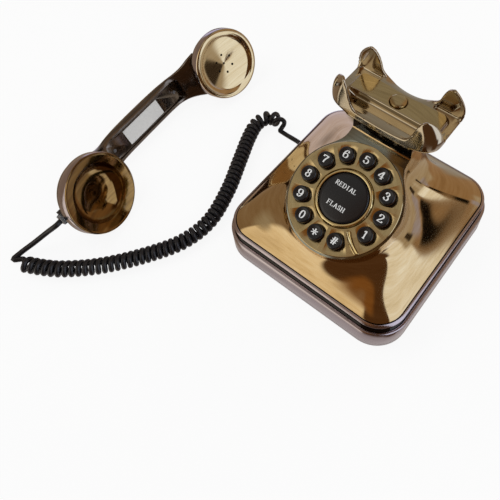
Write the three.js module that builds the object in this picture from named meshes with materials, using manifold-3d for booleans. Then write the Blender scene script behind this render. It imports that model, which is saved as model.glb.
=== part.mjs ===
// A push-button desk telephone in the shape of an old dial telephone: a square base that sweeps up
// to a tilted round keypad and a cradle on a short column, a handset lying beside it on the table,
// and the curly cord between the two. Millimetres and degrees, +X right, +Y back, +Z up.
import * as THREE from "three";
import { mergeVertices } from "three/addons/utils/BufferGeometryUtils.js";
import Module from "manifold-3d";

const wasm = await Module();
wasm.setup();

// ---------------------------------------------------------------- driving dimensions
const CLEAR = 0.3; // clearance of a piece on its seat
const THROUGH = 1; // how far a cutter runs past the face it opens

const base = {
  half: 80,
  corner: 25.4,
  bottom: 1.5,
  top: 23.4,
  wall: 2.6,
  floor: 2.4,
};
const foot = { radius: 8, height: 2.4, sink: 1.2, at: 60 };
const caseScrew = { head: 3, headHeight: 1.8, shank: 1.4, length: 17, x: 62, y: 44 };
const boss = { radius: 3.8, low: 5 };

const shell = {
  wall: 2.4,
  tongue: 3, // the rim that drops inside the lower case
  lipInset: 2.2, // the rounded lip over the dark groove
  lipBottom: 31.3,
  lipTop: 32.3,
  grooveInset: 4.2,
  edgeInset: 5.4, // the bright edge where the concave top starts
  edgeHeight: 34.2,
  rise: 38, // slope of the concave top at that edge
  rimPull: 0.38,
  headPull: 0.42,
};
const facet = { tilt: 24.5, topY: 20.5, topZ: 95.1 };
const drum = { radius: 43.7, wall: 4.5, fromTop: 48.6 };
const neck = { half: 25, back: 48, corner: 9, fillet: 9, top: 113 };

const plate = { radius: 42.3, bore: 22, thick: 1.6 };
const ring = { outer: 21.7, inner: 19.1, thick: 2.6, bevel: 0.8 };
const rocker = { radius: 18.6, thick: 3.6, crown: 0.7, pin: 0.9, pinReach: 20.6, pinDepth: 1.3 };
const key = {
  radius: 5.9,
  top: 6.5,
  flange: 7.1,
  flangeThick: 1.2,
  bevel: 0.8,
  dish: 0.35,
  hole: 6.35,
  ring: 31.6,
  travel: 2.5,
  first: -26,
  step: 29,
};
const keyNames = ["1", "2", "3", "4", "5", "6", "7", "8", "9", "0", "star", "hash"];
const fingerStop = { inner: 25.4, outer: 41.4, angle: -48, bend: 5, width: 3.4, thick: 1.9, bevel: 0.7 };
const keyMat = { gap: 2.9, thick: 1.2, dome: 4, domeHeight: 0.9, domeAt: 11 };
const keyBoard = { gap: 1.3, thick: 1.6 };
const post = { radius: 1.7, at: 21.9, first: 3, count: 3, screwHead: 2.4, screwShank: 0.8 };

const cradle = {
  wall: 2.4,
  endTop: 121.5, // the low ends between the front and back horns
  hollowEdge: 2.6,
  troughFloor: 118,
  troughFoot: 27.4, // the trough's floor slopes down to here from the lip
  troughHalf: 30,
  lipBack: 14.9,
  platformTop: 124,
  platformFront: 29.5,
  platformBack: 47.8,
  platformHalf: 36.5,
  platformCorner: 6,
  saddleHalf: 22.5, // half width of what runs back from the platform between the horns
  saddleStart: 45,
  saddleRoll: 1.5,
};
// The cradle's outline at rising heights: height, half width, front, back, front and back corner.
const cradleLevels = [
  [neck.top + CLEAR, 24.4, 21, 47.6, 3, 3],
  [115.8, 28.5, 12.4, 51.2, 6, 3],
  [117.6, 34, 12, 53, 9, 3],
  [120, 41.2, 12, 53.9, 10.5, 3.2],
  [122, 43.6, 12.1, 54.2, 11, 3.4],
  [128, 44.2, 12.5, 54.4, 11, 3.4],
  [134, 43.2, 12.8, 54, 10.5, 3.4],
  [139, 41, 13, 53.4, 9.5, 3.4],
  [143.4, 38.2, 13.4, 52.6, 8, 3.4],
  [147.2, 34.8, 13.9, 51.8, 6.5, 3.4],
];
const cradleBack = Math.max(...cradleLevels.map(([, , , back]) => back));
// The edges between the horns: the front and back ones as [x, height], the ends' one as [y, height].
const hornCurves = {
  front: [
    [0, 121.2],
    [9, 121.4],
    [15, 121.9],
    [20, 123],
    [23, 126.2],
    [25.2, 131],
    [26.8, 136.5],
    [28.4, 141.4],
    [30.8, 145.4],
    [33.8, 147],
    [37, 151],
  ],
  back: [
    [0, 117.3],
    [5, 117.8],
    [9, 118.8],
    [12.6, 120.2],
    [17, 122.8],
    [21, 125.4],
    [23.4, 128],
    [25, 133.4],
    [26.8, 139],
    [29, 143.4],
    [31.8, 146],
    [35, 147.6],
    [38, 151],
  ],
  end: [
    [13.5, 151],
    [16.5, 147.4],
    [20.4, 142.4],
    [22.5, 136],
    [23.8, 129],
    [26, 124.4],
    [30, 122],
    [36, 121.8],
    [48, 121.8],
    [50.4, 122.4],
    [51.5, 124.8],
    [51.6, 130],
    [50.4, 139],
    [49, 147],
    [48.4, 151],
  ],
};
const plunger = {
  y: 37.8,
  radius: 6,
  proud: 1.3,
  thick: 3.4,
  stem: 2.2,
  stemLength: 18,
  flange: 3.6,
  travel: 3,
  bore: 6.4,
};
const hookSwitch = {
  x: 20,
  y: 9,
  z: 9,
  bracketAt: 34.4,
  bracketY: 14,
  bracketThick: 1.6,
  ledge: 5,
  ledgeHeight: 3,
};
const cradleScrew = { x: 16, y: 34, head: 2.6, headHeight: 1.6, shank: 1.2, length: 4.6 };

const ballast = { x: 70, y: 70, thick: 3, cy: -32 };
const mainBoard = { x: 112, y: 84, thick: 1.6, cy: 8, post: 3, raise: 7.6 };
const ringer = { radius: 20, height: 7, x: 26, y: 4 };
const jack = { width: 14, height: 13, depth: 15, mouthWidth: 8.4, mouthHeight: 7.2, mouthDepth: 12.4 };
const bodyJack = { y: 32.5, z: 12 };
const lineJack = { x: 26, z: 12, mouthWidth: 10.2 };
const plug = { width: 7.7, height: 6.5, length: 15 };
const ringerSwitch = { x: -26, z: 12, knob: 4, knobHeight: 3, proud: 1.6, slot: 11, flange: 16, travel: 3 };

const handset = {
  at: [-178.78, -31.99, 34],
  yaw: 4.99,
  roll: 27.04,
  centres: 167.41,
  wall: 2.6,
};
const mouth = { radius: 33.22, tilt: 8.78, bowl: 23.5, bowlDepth: 9.6, rimStep: 3.4 };
const ear = {
  radius: 32.68,
  tilt: 9.05,
  dish: 25.5,
  dishDepth: 4.6,
  rimStep: 1.8,
  hole: 0.9,
  holeRing: 8.7,
};
const cap = { skirt: 10, wall: 2.2, spigot: 5 };
const cup = { depth: 29.5, inset: 2 };
const handle = {
  half: 13.8,
  front: -35.2, // the inner side, which faces the caps
  back: -48.4,
  coverHalf: 9.6,
  coverLength: 94,
  coverThick: 2.2,
  recess: 0.9,
};
const label = { width: 15, length: 44, thick: 0.5, at: -2 };
const capsule = { micRadius: 9, micHeight: 5.6, earRadius: 24, earInset: 2.4, earHeight: 7.4 };
const handsetWeight = { length: 60, width: 13, thick: 4.6 };
const handsetJack = { n: -16.5, front: -115.2, depth: 14, width: 11, height: 9.6 };
const coverScrew = { head: 2.2, headHeight: 1.4, shank: 0.9, length: 4.4, inset: 7 };

const lead = { radius: 1.95, sides: 8, spacing: 9 };
const curl = {
  strand: 1.9,
  radius: 4.6,
  pitch: 4.9,
  loose: 6.4, // pitch of the stretched curls by the handset
  looseLength: 110,
  gap: 1, // least gap aimed at between curls inside a bend
  ramp: 9, // length over which the first and last curl open
  start: -80,
  steps: 8,
  sides: 5,
  straight: 3.8,
};
const curlHeight = curl.radius + curl.strand + 0.35;
const curlRoute = [
  [-190.5, -193.2],
  [-175.6, -184.9],
  [-163.4, -176.7],
  [-140.2, -155.8],
  [-116.3, -124.4],
  [-102.6, -98.9],
  [-99, -73.6],
  [-107.1, -41.1],
  [-119.7, -11.2],
  [-131.3, 17],
  [-134.3, 31.5],
  [-128.6, 41.5],
  [-119.2, 41.6],
];

// ---------------------------------------------------------------- colours
const finish = (color, metalness, roughness) =>
  new THREE.MeshStandardMaterial({ color, metalness, roughness });
const finishes = {
  bronze: finish(0x8a7256, 0.9, 0.25),
  mauve: finish(0x8d8286, 0.8, 0.3),
  brass: finish(0xa58a5c, 0.9, 0.35),
  brightBrass: finish(0xc2a35c, 0.95, 0.2),
  gunmetal: finish(0x4c4238, 0.85, 0.3),
  blackPlastic: finish(0x1d1d20, 0, 0.35),
  rubber: finish(0x141414, 0, 0.8),
  cord: finish(0x0f0f12, 0, 0.45),
  clear: finish(0xc9cdd0, 0, 0.2),
  board: finish(0x2c5a35, 0, 0.6),
  steel: finish(0x9a9b9d, 1, 0.4),
  silicone: finish(0x8f9294, 0, 0.8),
  white: finish(0xf2f2ef, 0, 0.5),
};

// ---------------------------------------------------------------- geometry helpers
const rad = THREE.MathUtils.degToRad;
const vec = (x, y, z) => new THREE.Vector3(x, y, z);
const move = (x, y, z) => new THREE.Matrix4().makeTranslation(x, y, z);

/** A closed geometry as a solid that can be cut and joined. */
function solid(geometry, matrix = new THREE.Matrix4()) {
  const plain = new THREE.BufferGeometry();
  const loose = geometry.index ? geometry.toNonIndexed() : geometry;
  plain.setAttribute("position", loose.getAttribute("position").clone());
  const merged = mergeVertices(plain.applyMatrix4(matrix), 1e-4);
  const corners = merged.index.array;
  const triVerts = [];
  for (let i = 0; i < corners.length; i += 3) {
    const [a, b, c] = corners.subarray(i, i + 3);
    if (a !== b && b !== c && c !== a) triVerts.push(a, b, c);
  }
  const vertProperties = merged.attributes.position.array;
  return new wasm.Manifold(
    new wasm.Mesh({ numProp: 3, vertProperties, triVerts: new Uint32Array(triVerts) }),
  );
}

/** The geometry of a cut or joined solid. */
function geometryOf(body) {
  const mesh = body.getMesh();
  const geometry = new THREE.BufferGeometry();
  geometry.setAttribute("position", new THREE.BufferAttribute(mesh.vertProperties, 3));
  geometry.setIndex(new THREE.BufferAttribute(mesh.triVerts, 1));
  const flat = geometry.toNonIndexed();
  flat.computeVertexNormals();
  return flat;
}

const cut = (body, ...tools) => tools.reduce((rest, tool) => rest.subtract(tool), body);
const join = (body, ...others) => others.reduce((all, other) => all.add(other), body);

/** A closed skin through rings of points, counterclockwise from above, from low to high. */
function loft(rings) {
  const count = rings[0].length;
  const points = [];
  const tri = (a, b, c) => points.push(a, b, c);
  for (let i = 0; i + 1 < rings.length; i++) {
    for (let j = 0; j < count; j++) {
      const k = (j + 1) % count;
      tri(rings[i][j], rings[i][k], rings[i + 1][k]);
      tri(rings[i][j], rings[i + 1][k], rings[i + 1][j]);
    }
  }
  const centreOf = (ringPoints) =>
    ringPoints.reduce((sum, p) => sum.add(p), vec(0, 0, 0)).divideScalar(count);
  const low = centreOf(rings[0]);
  const high = centreOf(rings[rings.length - 1]);
  for (let j = 0; j < count; j++) {
    const k = (j + 1) % count;
    tri(low, rings[0][k], rings[0][j]);
    tri(high, rings[rings.length - 1][j], rings[rings.length - 1][k]);
  }
  return new THREE.BufferGeometry().setFromPoints(points);
}

/** A revolved piece from [radius, height] corners that start and end on the axis or close. */
function turned(profile, segments = 24) {
  const points = profile.map(([r, z]) => new THREE.Vector2(r, z));
  return new THREE.LatheGeometry(points, segments).rotateX(Math.PI / 2);
}

/** A tube-shaped ring from its outer and inner radius and its two heights. */
function washer(outer, inner, z0, z1, segments = 32) {
  const profile = [
    [inner, z0],
    [outer, z0],
    [outer, z1],
    [inner, z1],
    [inner, z0],
  ];
  return turned(profile, segments);
}

/** A cylinder along Z from z0 to z1. */
function rod(radius, z0, z1, segments = 16) {
  const profile = [
    [0, z0],
    [radius, z0],
    [radius, z1],
    [0, z1],
  ];
  return turned(profile, segments);
}

/** A box between two corners. */
function block(x0, x1, y0, y1, z0, z1) {
  const box = new THREE.BoxGeometry(x1 - x0, y1 - y0, z1 - z0);
  return box.translate((x0 + x1) / 2, (y0 + y1) / 2, (z0 + z1) / 2);
}

/** A rectangle with round corners, as a shape about its centre. */
function roundedShape(halfX, halfY, corner) {
  const shape = new THREE.Shape();
  shape.moveTo(-halfX + corner, -halfY);
  shape.lineTo(halfX - corner, -halfY);
  shape.absarc(halfX - corner, -halfY + corner, corner, -Math.PI / 2, 0);
  shape.lineTo(halfX, halfY - corner);
  shape.absarc(halfX - corner, halfY - corner, corner, 0, Math.PI / 2);
  shape.lineTo(-halfX + corner, halfY);
  shape.absarc(-halfX + corner, halfY - corner, corner, Math.PI / 2, Math.PI);
  shape.lineTo(-halfX, -halfY + corner);
  shape.absarc(-halfX + corner, -halfY + corner, corner, Math.PI, 1.5 * Math.PI);
  return shape;
}

/** A prism of a shape in the XY plane between two heights. */
function prism(shape, z0, z1, curveSegments = 4, steps = 1) {
  const options = { depth: z1 - z0, bevelEnabled: false, curveSegments, steps };
  return new THREE.ExtrudeGeometry(shape, options).translate(0, 0, z0);
}

/** A prism along X of an outline of [y, z] points. */
function prismX(outline, x0, x1) {
  const shape = new THREE.Shape(outline.map(([y, z]) => new THREE.Vector2(y, z)));
  const turn = new THREE.Matrix4().makeBasis(vec(0, 1, 0), vec(0, 0, 1), vec(1, 0, 0));
  return prism(shape, x0, x1).applyMatrix4(turn);
}

/** A prism along Y of an outline of [x, z] points, in one or more steps. */
function prismY(outline, y0, y1, steps = 1) {
  const shape = new THREE.Shape(outline.map(([x, z]) => new THREE.Vector2(x, z)));
  const turn = new THREE.Matrix4().makeBasis(vec(1, 0, 0), vec(0, 0, 1), vec(0, -1, 0));
  return prism(shape, -y1, -y0, 1, steps).applyMatrix4(turn);
}

/** Points of a smooth curve through flat [a, b] points. */
function smooth(points, divisions) {
  const curve = new THREE.SplineCurve(points.map(([a, b]) => new THREE.Vector2(a, b)));
  return curve.getPoints(divisions).map((p) => [p.x, p.y]);
}

const mirrored = (points) => points.map(([a, b]) => [-a, b]).reverse();
const spanned = (half) => {
  const curve = smooth(half, 15);
  return [...mirrored(curve), ...curve.slice(1)];
};
const softMin = (a, b, k) => Math.min(a, b) - (Math.max(k - Math.abs(a - b), 0) ** 2) / (4 * k);
const softMax = (a, b, k) => -softMin(-a, -b, k);

// ---------------------------------------------------------------- the body's swept form
const slope = rad(facet.tilt);
const facetUp = vec(0, Math.cos(slope), Math.sin(slope));
const facetNormal = vec(0, -Math.sin(slope), Math.cos(slope));
const dialCentre = vec(0, facet.topY, facet.topZ).addScaledVector(facetUp, -drum.fromTop);
const dialFrame = new THREE.Matrix4().makeRotationX(slope).setPosition(dialCentre);
const facetHeight = (y) => facet.topZ + (y - facet.topY) * Math.tan(slope);
const facetUnder = -shell.wall; // underside of the keypad face, in the dial's own frame

// Directions of the loft's columns in one quarter: closer together round the base's corners.
const quarterAngles = [0, 12, 24, 33, 39, 45, 51, 57, 66, 78];
const columnAngles = [0, 1, 2, 3].flatMap((quarter) => {
  const flipped = quarterAngles.map((a) => (a === 0 ? 0 : 90 - a)).sort((a, b) => a - b);
  const own = quarter % 2 === 0 ? quarterAngles : flipped;
  return own.map((a) => rad(a + 90 * quarter));
});

/** Distance from the base's centre to its rounded square outline. */
function rimReach(angle, half, corner) {
  const x = Math.abs(Math.cos(angle));
  const y = Math.abs(Math.sin(angle));
  const straight = half / Math.max(x, y);
  const flat = half - corner;
  if (Math.min(x, y) * straight <= flat) return straight;
  const along = flat * (x + y);
  return along + Math.sqrt(along * along - 2 * flat * flat + corner * corner);
}

function rimRing(inset, z) {
  return columnAngles.map((a) => {
    const reach = rimReach(a, base.half - inset, base.corner - inset);
    return vec(reach * Math.cos(a), reach * Math.sin(a), z);
  });
}

/** Where the concave top ends: round the drum, through the fillets and round the column. */
function headPoint(angle, inset) {
  const x = Math.abs(Math.cos(angle));
  const y = Math.sin(angle);
  const r = drum.radius - inset;
  const squash = Math.cos(slope);
  const a = (x / r) ** 2 + (y / (r * squash)) ** 2;
  const b = (y * dialCentre.y) / (r * squash) ** 2;
  const c = (dialCentre.y / (r * squash)) ** 2 - 1;
  const drumReach = (b + Math.sqrt(b * b - a * c)) / a;
  const half = neck.half - inset;
  const neckReach = y > 0 ? softMin(half / x, (neck.back - inset) / y, neck.corner) : half;
  const reach = softMax(drumReach, neckReach, neck.fillet);
  const at = vec(reach * Math.cos(angle), reach * y, 0);
  at.z = facetHeight(Math.min(at.y, facet.topY));
  return at;
}

/** Rings of the concave top from the bright edge to the foot of the drum and the column. */
function sweptRings(inset, steps) {
  const rise = rad(shell.rise);
  const columns = columnAngles.map((angle) => {
    const edge = shell.edgeInset + inset;
    const reach = rimReach(angle, base.half - edge, base.corner - edge);
    const out = vec(Math.cos(angle), Math.sin(angle), 0);
    const start = out.clone().multiplyScalar(reach).setZ(shell.edgeHeight - inset * 0.6);
    const head = headPoint(angle, inset);
    const upright = THREE.MathUtils.smoothstep(head.y, 0, facet.topY - 2);
    const wallDirection = facetNormal.clone().lerp(vec(0, 0, 1), upright).normalize();
    const end = head.clone().addScaledVector(wallDirection, -drum.wall - inset * 0.6);
    const span = start.distanceTo(end);
    const leave = out.clone().multiplyScalar(-Math.cos(rise)).setZ(Math.sin(rise));
    const curve = new THREE.CubicBezierCurve3(
      start,
      start.clone().addScaledVector(leave, shell.rimPull * span),
      end.clone().addScaledVector(vec(0, 0, -1), shell.headPull * span),
      end,
    );
    const top = end.clone().addScaledVector(wallDirection, 40);
    return [...curve.getPoints(steps), top];
  });
  return columns[0].map((_, i) => columns.map((column) => column[i]));
}

/** The tool that cuts the tilted face, the neck's front and the column's top. */
function headTool(inset) {
  const lower = inset / Math.cos(slope);
  const front = -2 * base.half;
  const far = 2 * base.half;
  const outline = [
    [front, facetHeight(front) - lower],
    [facet.topY + inset, facetHeight(facet.topY + inset) - lower],
    [facet.topY + inset, neck.top - inset],
    [far, neck.top - inset],
    [far, 3 * base.half],
    [front, 3 * base.half],
  ];
  return solid(prismX(outline, -far, far));
}

// ---------------------------------------------------------------- body pieces
const floorTop = base.bottom + base.floor;
const mirroredPlaces = (x, y) => [
  [x, y],
  [-x, y],
  [-x, -y],
  [x, -y],
];
const screwPlaces = mirroredPlaces(caseScrew.x, caseScrew.y);
const footPlaces = mirroredPlaces(foot.at, foot.at);
const standTop = floorTop + boss.low; // top of the lower case's screw stands
const boardPlaces = mirroredPlaces(mainBoard.x / 2 - 6, mainBoard.y / 2 - 6).map(([x, y]) => [
  x,
  y + mainBoard.cy,
]);
const postPlaces = Array.from({ length: post.count }, (_, i) => {
  const angle = rad(key.first + (post.first + (i * keyNames.length) / post.count + 0.5) * key.step);
  return [post.at * Math.cos(angle), post.at * Math.sin(angle)];
});
const keyPlaces = keyNames.map((name, i) => {
  const angle = rad(key.first + i * key.step);
  return { name, x: key.ring * Math.cos(angle), y: key.ring * Math.sin(angle) };
});
const keyDrop = facetUnder - CLEAR; // top of a key's flange
const matTop = keyDrop - key.flangeThick - key.travel - CLEAR;
const boardTop = matTop - keyMat.thick - CLEAR;
const plungerTop = cradle.platformTop + plunger.proud;
const plungerSeat = plungerTop - plunger.thick - plunger.travel - CLEAR;
const stemBottom = plungerTop - plunger.thick - plunger.stemLength;
const switchTop = stemBottom - plunger.travel - CLEAR;
const ledgeTop = switchTop - hookSwitch.z - hookSwitch.bracketThick - CLEAR;

/** The upper housing: groove, lip, concave top, keypad face, neck and column in one moulding. */
function upperShell() {
  const bottom = base.top - shell.tongue;
  const tongueInset = base.wall + CLEAR;
  const outerRings = [
    rimRing(tongueInset, bottom),
    rimRing(tongueInset, base.top - CLEAR),
    rimRing(shell.grooveInset, base.top + 1),
    rimRing(shell.grooveInset, shell.lipBottom - 3),
    rimRing(shell.lipInset, shell.lipBottom),
    rimRing(shell.lipInset, shell.lipTop),
    rimRing(shell.edgeInset + 0.5, shell.lipTop + 0.7),
    ...sweptRings(0, 6),
  ];
  const innerEdge = shell.edgeInset + shell.wall;
  const innerRings = [
    rimRing(tongueInset + shell.wall, bottom - THROUGH),
    rimRing(tongueInset + shell.wall, shell.lipBottom - 4),
    rimRing(innerEdge, shell.edgeHeight - 3),
    ...sweptRings(shell.wall, 3),
  ];
  const outer = solid(loft(outerRings)).subtract(headTool(0));
  const hollow = solid(loft(innerRings)).subtract(headTool(shell.wall));
  const bosses = screwPlaces.map(([x, y]) =>
    solid(rod(boss.radius, standTop + CLEAR, shell.edgeHeight + 30, 8), move(x, y, 0)),
  );
  const posts = postPlaces.map(([x, y]) =>
    solid(rod(post.radius, matTop - keyMat.thick, facetUnder / 2, 6).translate(x, y, 0), dialFrame),
  );
  const ledgeAt = neck.half - shell.wall - hookSwitch.ledge / 2 + THROUGH / 2;
  const ledgeHalf = (hookSwitch.ledge + THROUGH) / 2;
  const ledgeDepth = hookSwitch.bracketY / 2;
  const ledge = block(-ledgeHalf, ledgeHalf, -ledgeDepth, ledgeDepth, -hookSwitch.ledgeHeight, 0);
  const ledges = [-1, 1].map((side) => solid(ledge, move(side * ledgeAt, hookSwitch.bracketAt, ledgeTop)));
  const added = join(...bosses.concat(posts, ledges)).intersect(outer);
  const keyHoles = keyPlaces.map(({ x, y }) =>
    solid(rod(key.hole, facetUnder - THROUGH, THROUGH, 14).translate(x, y, 0), dialFrame),
  );
  const rockerHole = solid(rod(rocker.radius + 2 * CLEAR, facetUnder - THROUGH, THROUGH, 28), dialFrame);
  const pocketHalf = rocker.pin + CLEAR;
  const pocketReach = rocker.pinReach + CLEAR;
  const pinPocket = solid(
    block(
      -pocketReach,
      pocketReach,
      -pocketHalf,
      pocketHalf,
      facetUnder - THROUGH,
      pocketHalf - rocker.pinDepth,
    ),
    dialFrame,
  );
  const stemHole = solid(
    rod(plunger.flange + CLEAR, neck.top - 4, neck.top + THROUGH, 12),
    move(0, plunger.y, 0),
  );
  const screwHoles = screwPlaces.map(([x, y]) =>
    solid(rod(caseScrew.shank + CLEAR, standTop, standTop + 14, 8), move(x, y, 0)),
  );
  const boardHoles = postPlaces.map(([x, y]) =>
    solid(rod(post.screwShank + CLEAR / 2, matTop - 4, facetUnder, 6).translate(x, y, 0), dialFrame),
  );
  const cradleHoles = [-1, 1].map((side) =>
    solid(
      rod(cradleScrew.shank + CLEAR, neck.top - 4, neck.top + THROUGH, 8),
      move(side * cradleScrew.x, cradleScrew.y, 0),
    ),
  );
  return cut(
    join(outer.subtract(hollow), added),
    ...keyHoles,
    rockerHole,
    pinPocket,
    stemHole,
    ...screwHoles,
    ...boardHoles,
    ...cradleHoles,
  );
}

/** The open-fronted box of a modular socket, its mouth facing +Y at y = 0. */
function jackBody(mouthWidth) {
  const body = solid(
    block(-jack.width / 2, jack.width / 2, -jack.depth, 0, -jack.height / 2, jack.height / 2),
  );
  const bore = [mouthWidth / 2, jack.mouthHeight / 2];
  const opening = solid(block(-bore[0], bore[0], -jack.mouthDepth, THROUGH, -bore[1], bore[1]));
  const latch = solid(block(-1.6, 1.6, -jack.mouthDepth, THROUGH, bore[1] - THROUGH, bore[1] + 1.7));
  return cut(body, opening, latch);
}

/** A cutter that lets a socket through a wall, about the socket's own frame. */
const jackWindow = () =>
  block(
    -jack.width / 2 - CLEAR,
    jack.width / 2 + CLEAR,
    -jack.depth / 2,
    THROUGH + 2,
    -jack.height / 2 - CLEAR,
    jack.height / 2 + CLEAR,
  );
const bodyJackFrame = new THREE.Matrix4()
  .makeRotationZ(Math.PI / 2)
  .setPosition(-base.half + CLEAR, bodyJack.y, bodyJack.z);
const lineJackFrame = move(lineJack.x, base.half - CLEAR, lineJack.z);

/** The lower case: a tray with its wall, floor, screw stands, foot recesses and side windows. */
function lowerCase() {
  const inset = base.wall;
  const outer = solid(loft([rimRing(0, base.bottom), rimRing(0, base.top)]));
  const hollow = solid(loft([rimRing(inset, floorTop), rimRing(inset, base.top + THROUGH)]));
  const stands = screwPlaces.map(([x, y]) =>
    solid(rod(boss.radius, base.bottom + 1, standTop, 8), move(x, y, 0)),
  );
  const boardPosts = boardPlaces.map(([x, y]) =>
    solid(rod(mainBoard.post, base.bottom + 1, mainBoard.raise, 6), move(x, y, 0)),
  );
  const recesses = footPlaces.map(([x, y]) =>
    solid(rod(foot.radius + CLEAR, 0, base.bottom + foot.sink, 14), move(x, y, 0)),
  );
  const screwHoles = screwPlaces.flatMap(([x, y]) => [
    solid(rod(caseScrew.shank + CLEAR, 0, standTop + THROUGH, 8), move(x, y, 0)),
    solid(rod(caseScrew.head + CLEAR, 0, base.bottom + caseScrew.headHeight + 2 * CLEAR, 8), move(x, y, 0)),
  ]);
  const switchSlot = block(
    ringerSwitch.x - ringerSwitch.slot / 2,
    ringerSwitch.x + ringerSwitch.slot / 2,
    base.half - base.wall - THROUGH,
    base.half + THROUGH,
    ringerSwitch.z - ringerSwitch.knobHeight / 2 - CLEAR,
    ringerSwitch.z + ringerSwitch.knobHeight / 2 + CLEAR,
  );
  return cut(
    join(outer.subtract(hollow), ...stands, ...boardPosts),
    ...recesses,
    ...screwHoles,
    solid(jackWindow(), bodyJackFrame),
    solid(jackWindow(), lineJackFrame),
    solid(switchSlot),
  );
}

/** A screw with its head down, the head's underside at z = 0 and the shank rising. */
function screw(head, headHeight, shank, length) {
  const profile = [
    [0, -headHeight],
    [head * 0.7, -headHeight],
    [head, 0],
    [shank, 0],
    [shank, length],
    [0, length],
  ];
  return turned(profile, 8);
}

function rubberFoot() {
  const top = foot.height;
  return turned(
    [
      [0, 0],
      [foot.radius - 1, 0],
      [foot.radius, 0.8],
      [foot.radius, top],
      [0, top],
    ],
    14,
  );
}

function dialPlate() {
  const disc = solid(washer(plate.radius, plate.bore, CLEAR, CLEAR + plate.thick, 40));
  const holes = keyPlaces.map(({ x, y }) =>
    solid(rod(key.hole, 0, plate.thick + THROUGH, 14), move(x, y, 0)),
  );
  return cut(disc, ...holes);
}

function centreRing() {
  const low = CLEAR;
  const high = CLEAR + ring.thick;
  const profile = [
    [ring.inner, low],
    [ring.outer, low],
    [ring.outer, high - 1.6 * ring.bevel],
    [ring.outer - ring.bevel, high],
    [ring.inner + ring.bevel / 2, high],
    [ring.inner, high - ring.bevel / 2],
    [ring.inner, low],
  ];
  return turned(profile, 30);
}

/** The curved ridge between the first and the last key. */
function fingerStopRidge() {
  const half = fingerStop.width / 2 - fingerStop.bevel;
  const steps = 6;
  const side = (offset) =>
    Array.from({ length: steps + 1 }, (_, i) => {
      const share = i / steps;
      const reach = THREE.MathUtils.lerp(fingerStop.inner, fingerStop.outer, share);
      const angle = rad(fingerStop.angle + fingerStop.bend * share * share);
      return [
        reach * Math.cos(angle) - offset * Math.sin(angle),
        reach * Math.sin(angle) + offset * Math.cos(angle),
      ];
    });
  const inner = rad(fingerStop.angle);
  const nose = [(fingerStop.inner - half) * Math.cos(inner), (fingerStop.inner - half) * Math.sin(inner)];
  const outline = [...side(-half), ...side(half).reverse(), nose];
  const shape = new THREE.Shape(outline.map(([x, y]) => new THREE.Vector2(x, y)));
  const depth = fingerStop.thick - fingerStop.bevel;
  const options = {
    depth,
    bevelThickness: fingerStop.bevel,
    bevelSize: fingerStop.bevel,
    bevelSegments: 2,
  };
  const ridge = solid(new THREE.ExtrudeGeometry(shape, options).translate(0, 0, plate.thick + CLEAR));
  const under = solid(block(-50, 50, -50, 50, -5, plate.thick + 2 * CLEAR));
  const rim = solid(washer(plate.radius + 20, plate.radius - 0.4, -5, 20, 48));
  return cut(ridge, under, rim);
}

function keyCap() {
  const bottom = keyDrop - key.flangeThick;
  return turned(
    [
      [0, bottom],
      [key.flange, bottom],
      [key.flange, keyDrop],
      [key.radius, keyDrop],
      [key.radius, key.top - key.bevel],
      [key.radius - key.bevel, key.top],
      [0, key.top - key.dish],
    ],
    14,
  );
}

/** The centre disc: it rocks about two pins that lie in pockets of the keypad face. */
function rockerDisc() {
  const top = rocker.thick - rocker.crown;
  const disc = turned(
    [
      [0, facetUnder],
      [rocker.radius - 0.6, facetUnder],
      [rocker.radius, facetUnder + 0.6],
      [rocker.radius, top - 1],
      [rocker.radius - 0.9, top],
      [rocker.radius * 0.5, rocker.thick - rocker.crown * 0.3],
      [0, rocker.thick],
    ],
    28,
  );
  const pin = rod(rocker.pin, -rocker.pinReach, rocker.pinReach, 8).rotateY(Math.PI / 2);
  return join(solid(disc), solid(pin, move(0, 0, -rocker.pinDepth)));
}

function keyMatDisc() {
  const low = matTop - keyMat.thick;
  const mat = solid(rod(drum.radius - shell.wall - keyMat.gap, low, matTop, 28));
  const domes = [-1, 1].map((side) =>
    solid(rod(keyMat.dome, matTop - 0.5, matTop + keyMat.domeHeight, 8), move(0, side * keyMat.domeAt, 0)),
  );
  const holes = postPlaces.map(([x, y]) =>
    solid(rod(post.radius + CLEAR, low - 1, matTop + 1, 8), move(x, y, 0)),
  );
  return cut(join(mat, ...domes), ...holes);
}

function keyBoardDisc() {
  const low = boardTop - keyBoard.thick;
  const board = solid(rod(drum.radius - shell.wall - keyBoard.gap, low, boardTop, 28));
  const holes = postPlaces.map(([x, y]) =>
    solid(rod(post.screwShank + CLEAR, low - 1, boardTop + 1, 8), move(x, y, 0)),
  );
  return cut(board, ...holes);
}

// ---------------------------------------------------------------- cradle and hook
/** A ring of a rounded rectangle at one height, with its own front and back corner radius. */
function rectRing(halfX, yFront, yBack, frontCorner, backCorner, z) {
  const turns = [0, 22.5, 45, 67.5, 90];
  const corners = [
    [1, yFront + frontCorner, frontCorner, -90],
    [1, yBack - backCorner, backCorner, 0],
    [-1, yBack - backCorner, backCorner, 90],
    [-1, yFront + frontCorner, frontCorner, -180],
  ];
  return corners.flatMap(([side, y, radius, start]) =>
    turns.map((turn) => {
      const angle = rad(start + turn);
      const x = side * (halfX - radius) + radius * Math.cos(angle);
      return vec(x, y + radius * Math.sin(angle), z);
    }),
  );
}

/** The space behind the platform: its floor rolls down from the platform to the low back edge. */
function saddleCutter() {
  const back = cradleBack + THROUGH;
  const reach = back - cradle.saddleStart;
  const geometry = prismY(spanned(hornCurves.back), cradle.saddleStart, back, 4);
  const place = geometry.getAttribute("position");
  for (let i = 0; i < place.count; i++) {
    const drop = Math.min(place.getZ(i) - cradle.platformTop, 0);
    const share = (place.getY(i) - cradle.saddleStart) / reach;
    place.setZ(i, place.getZ(i) - drop + drop * share ** cradle.saddleRoll);
  }
  return solid(geometry);
}

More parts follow.
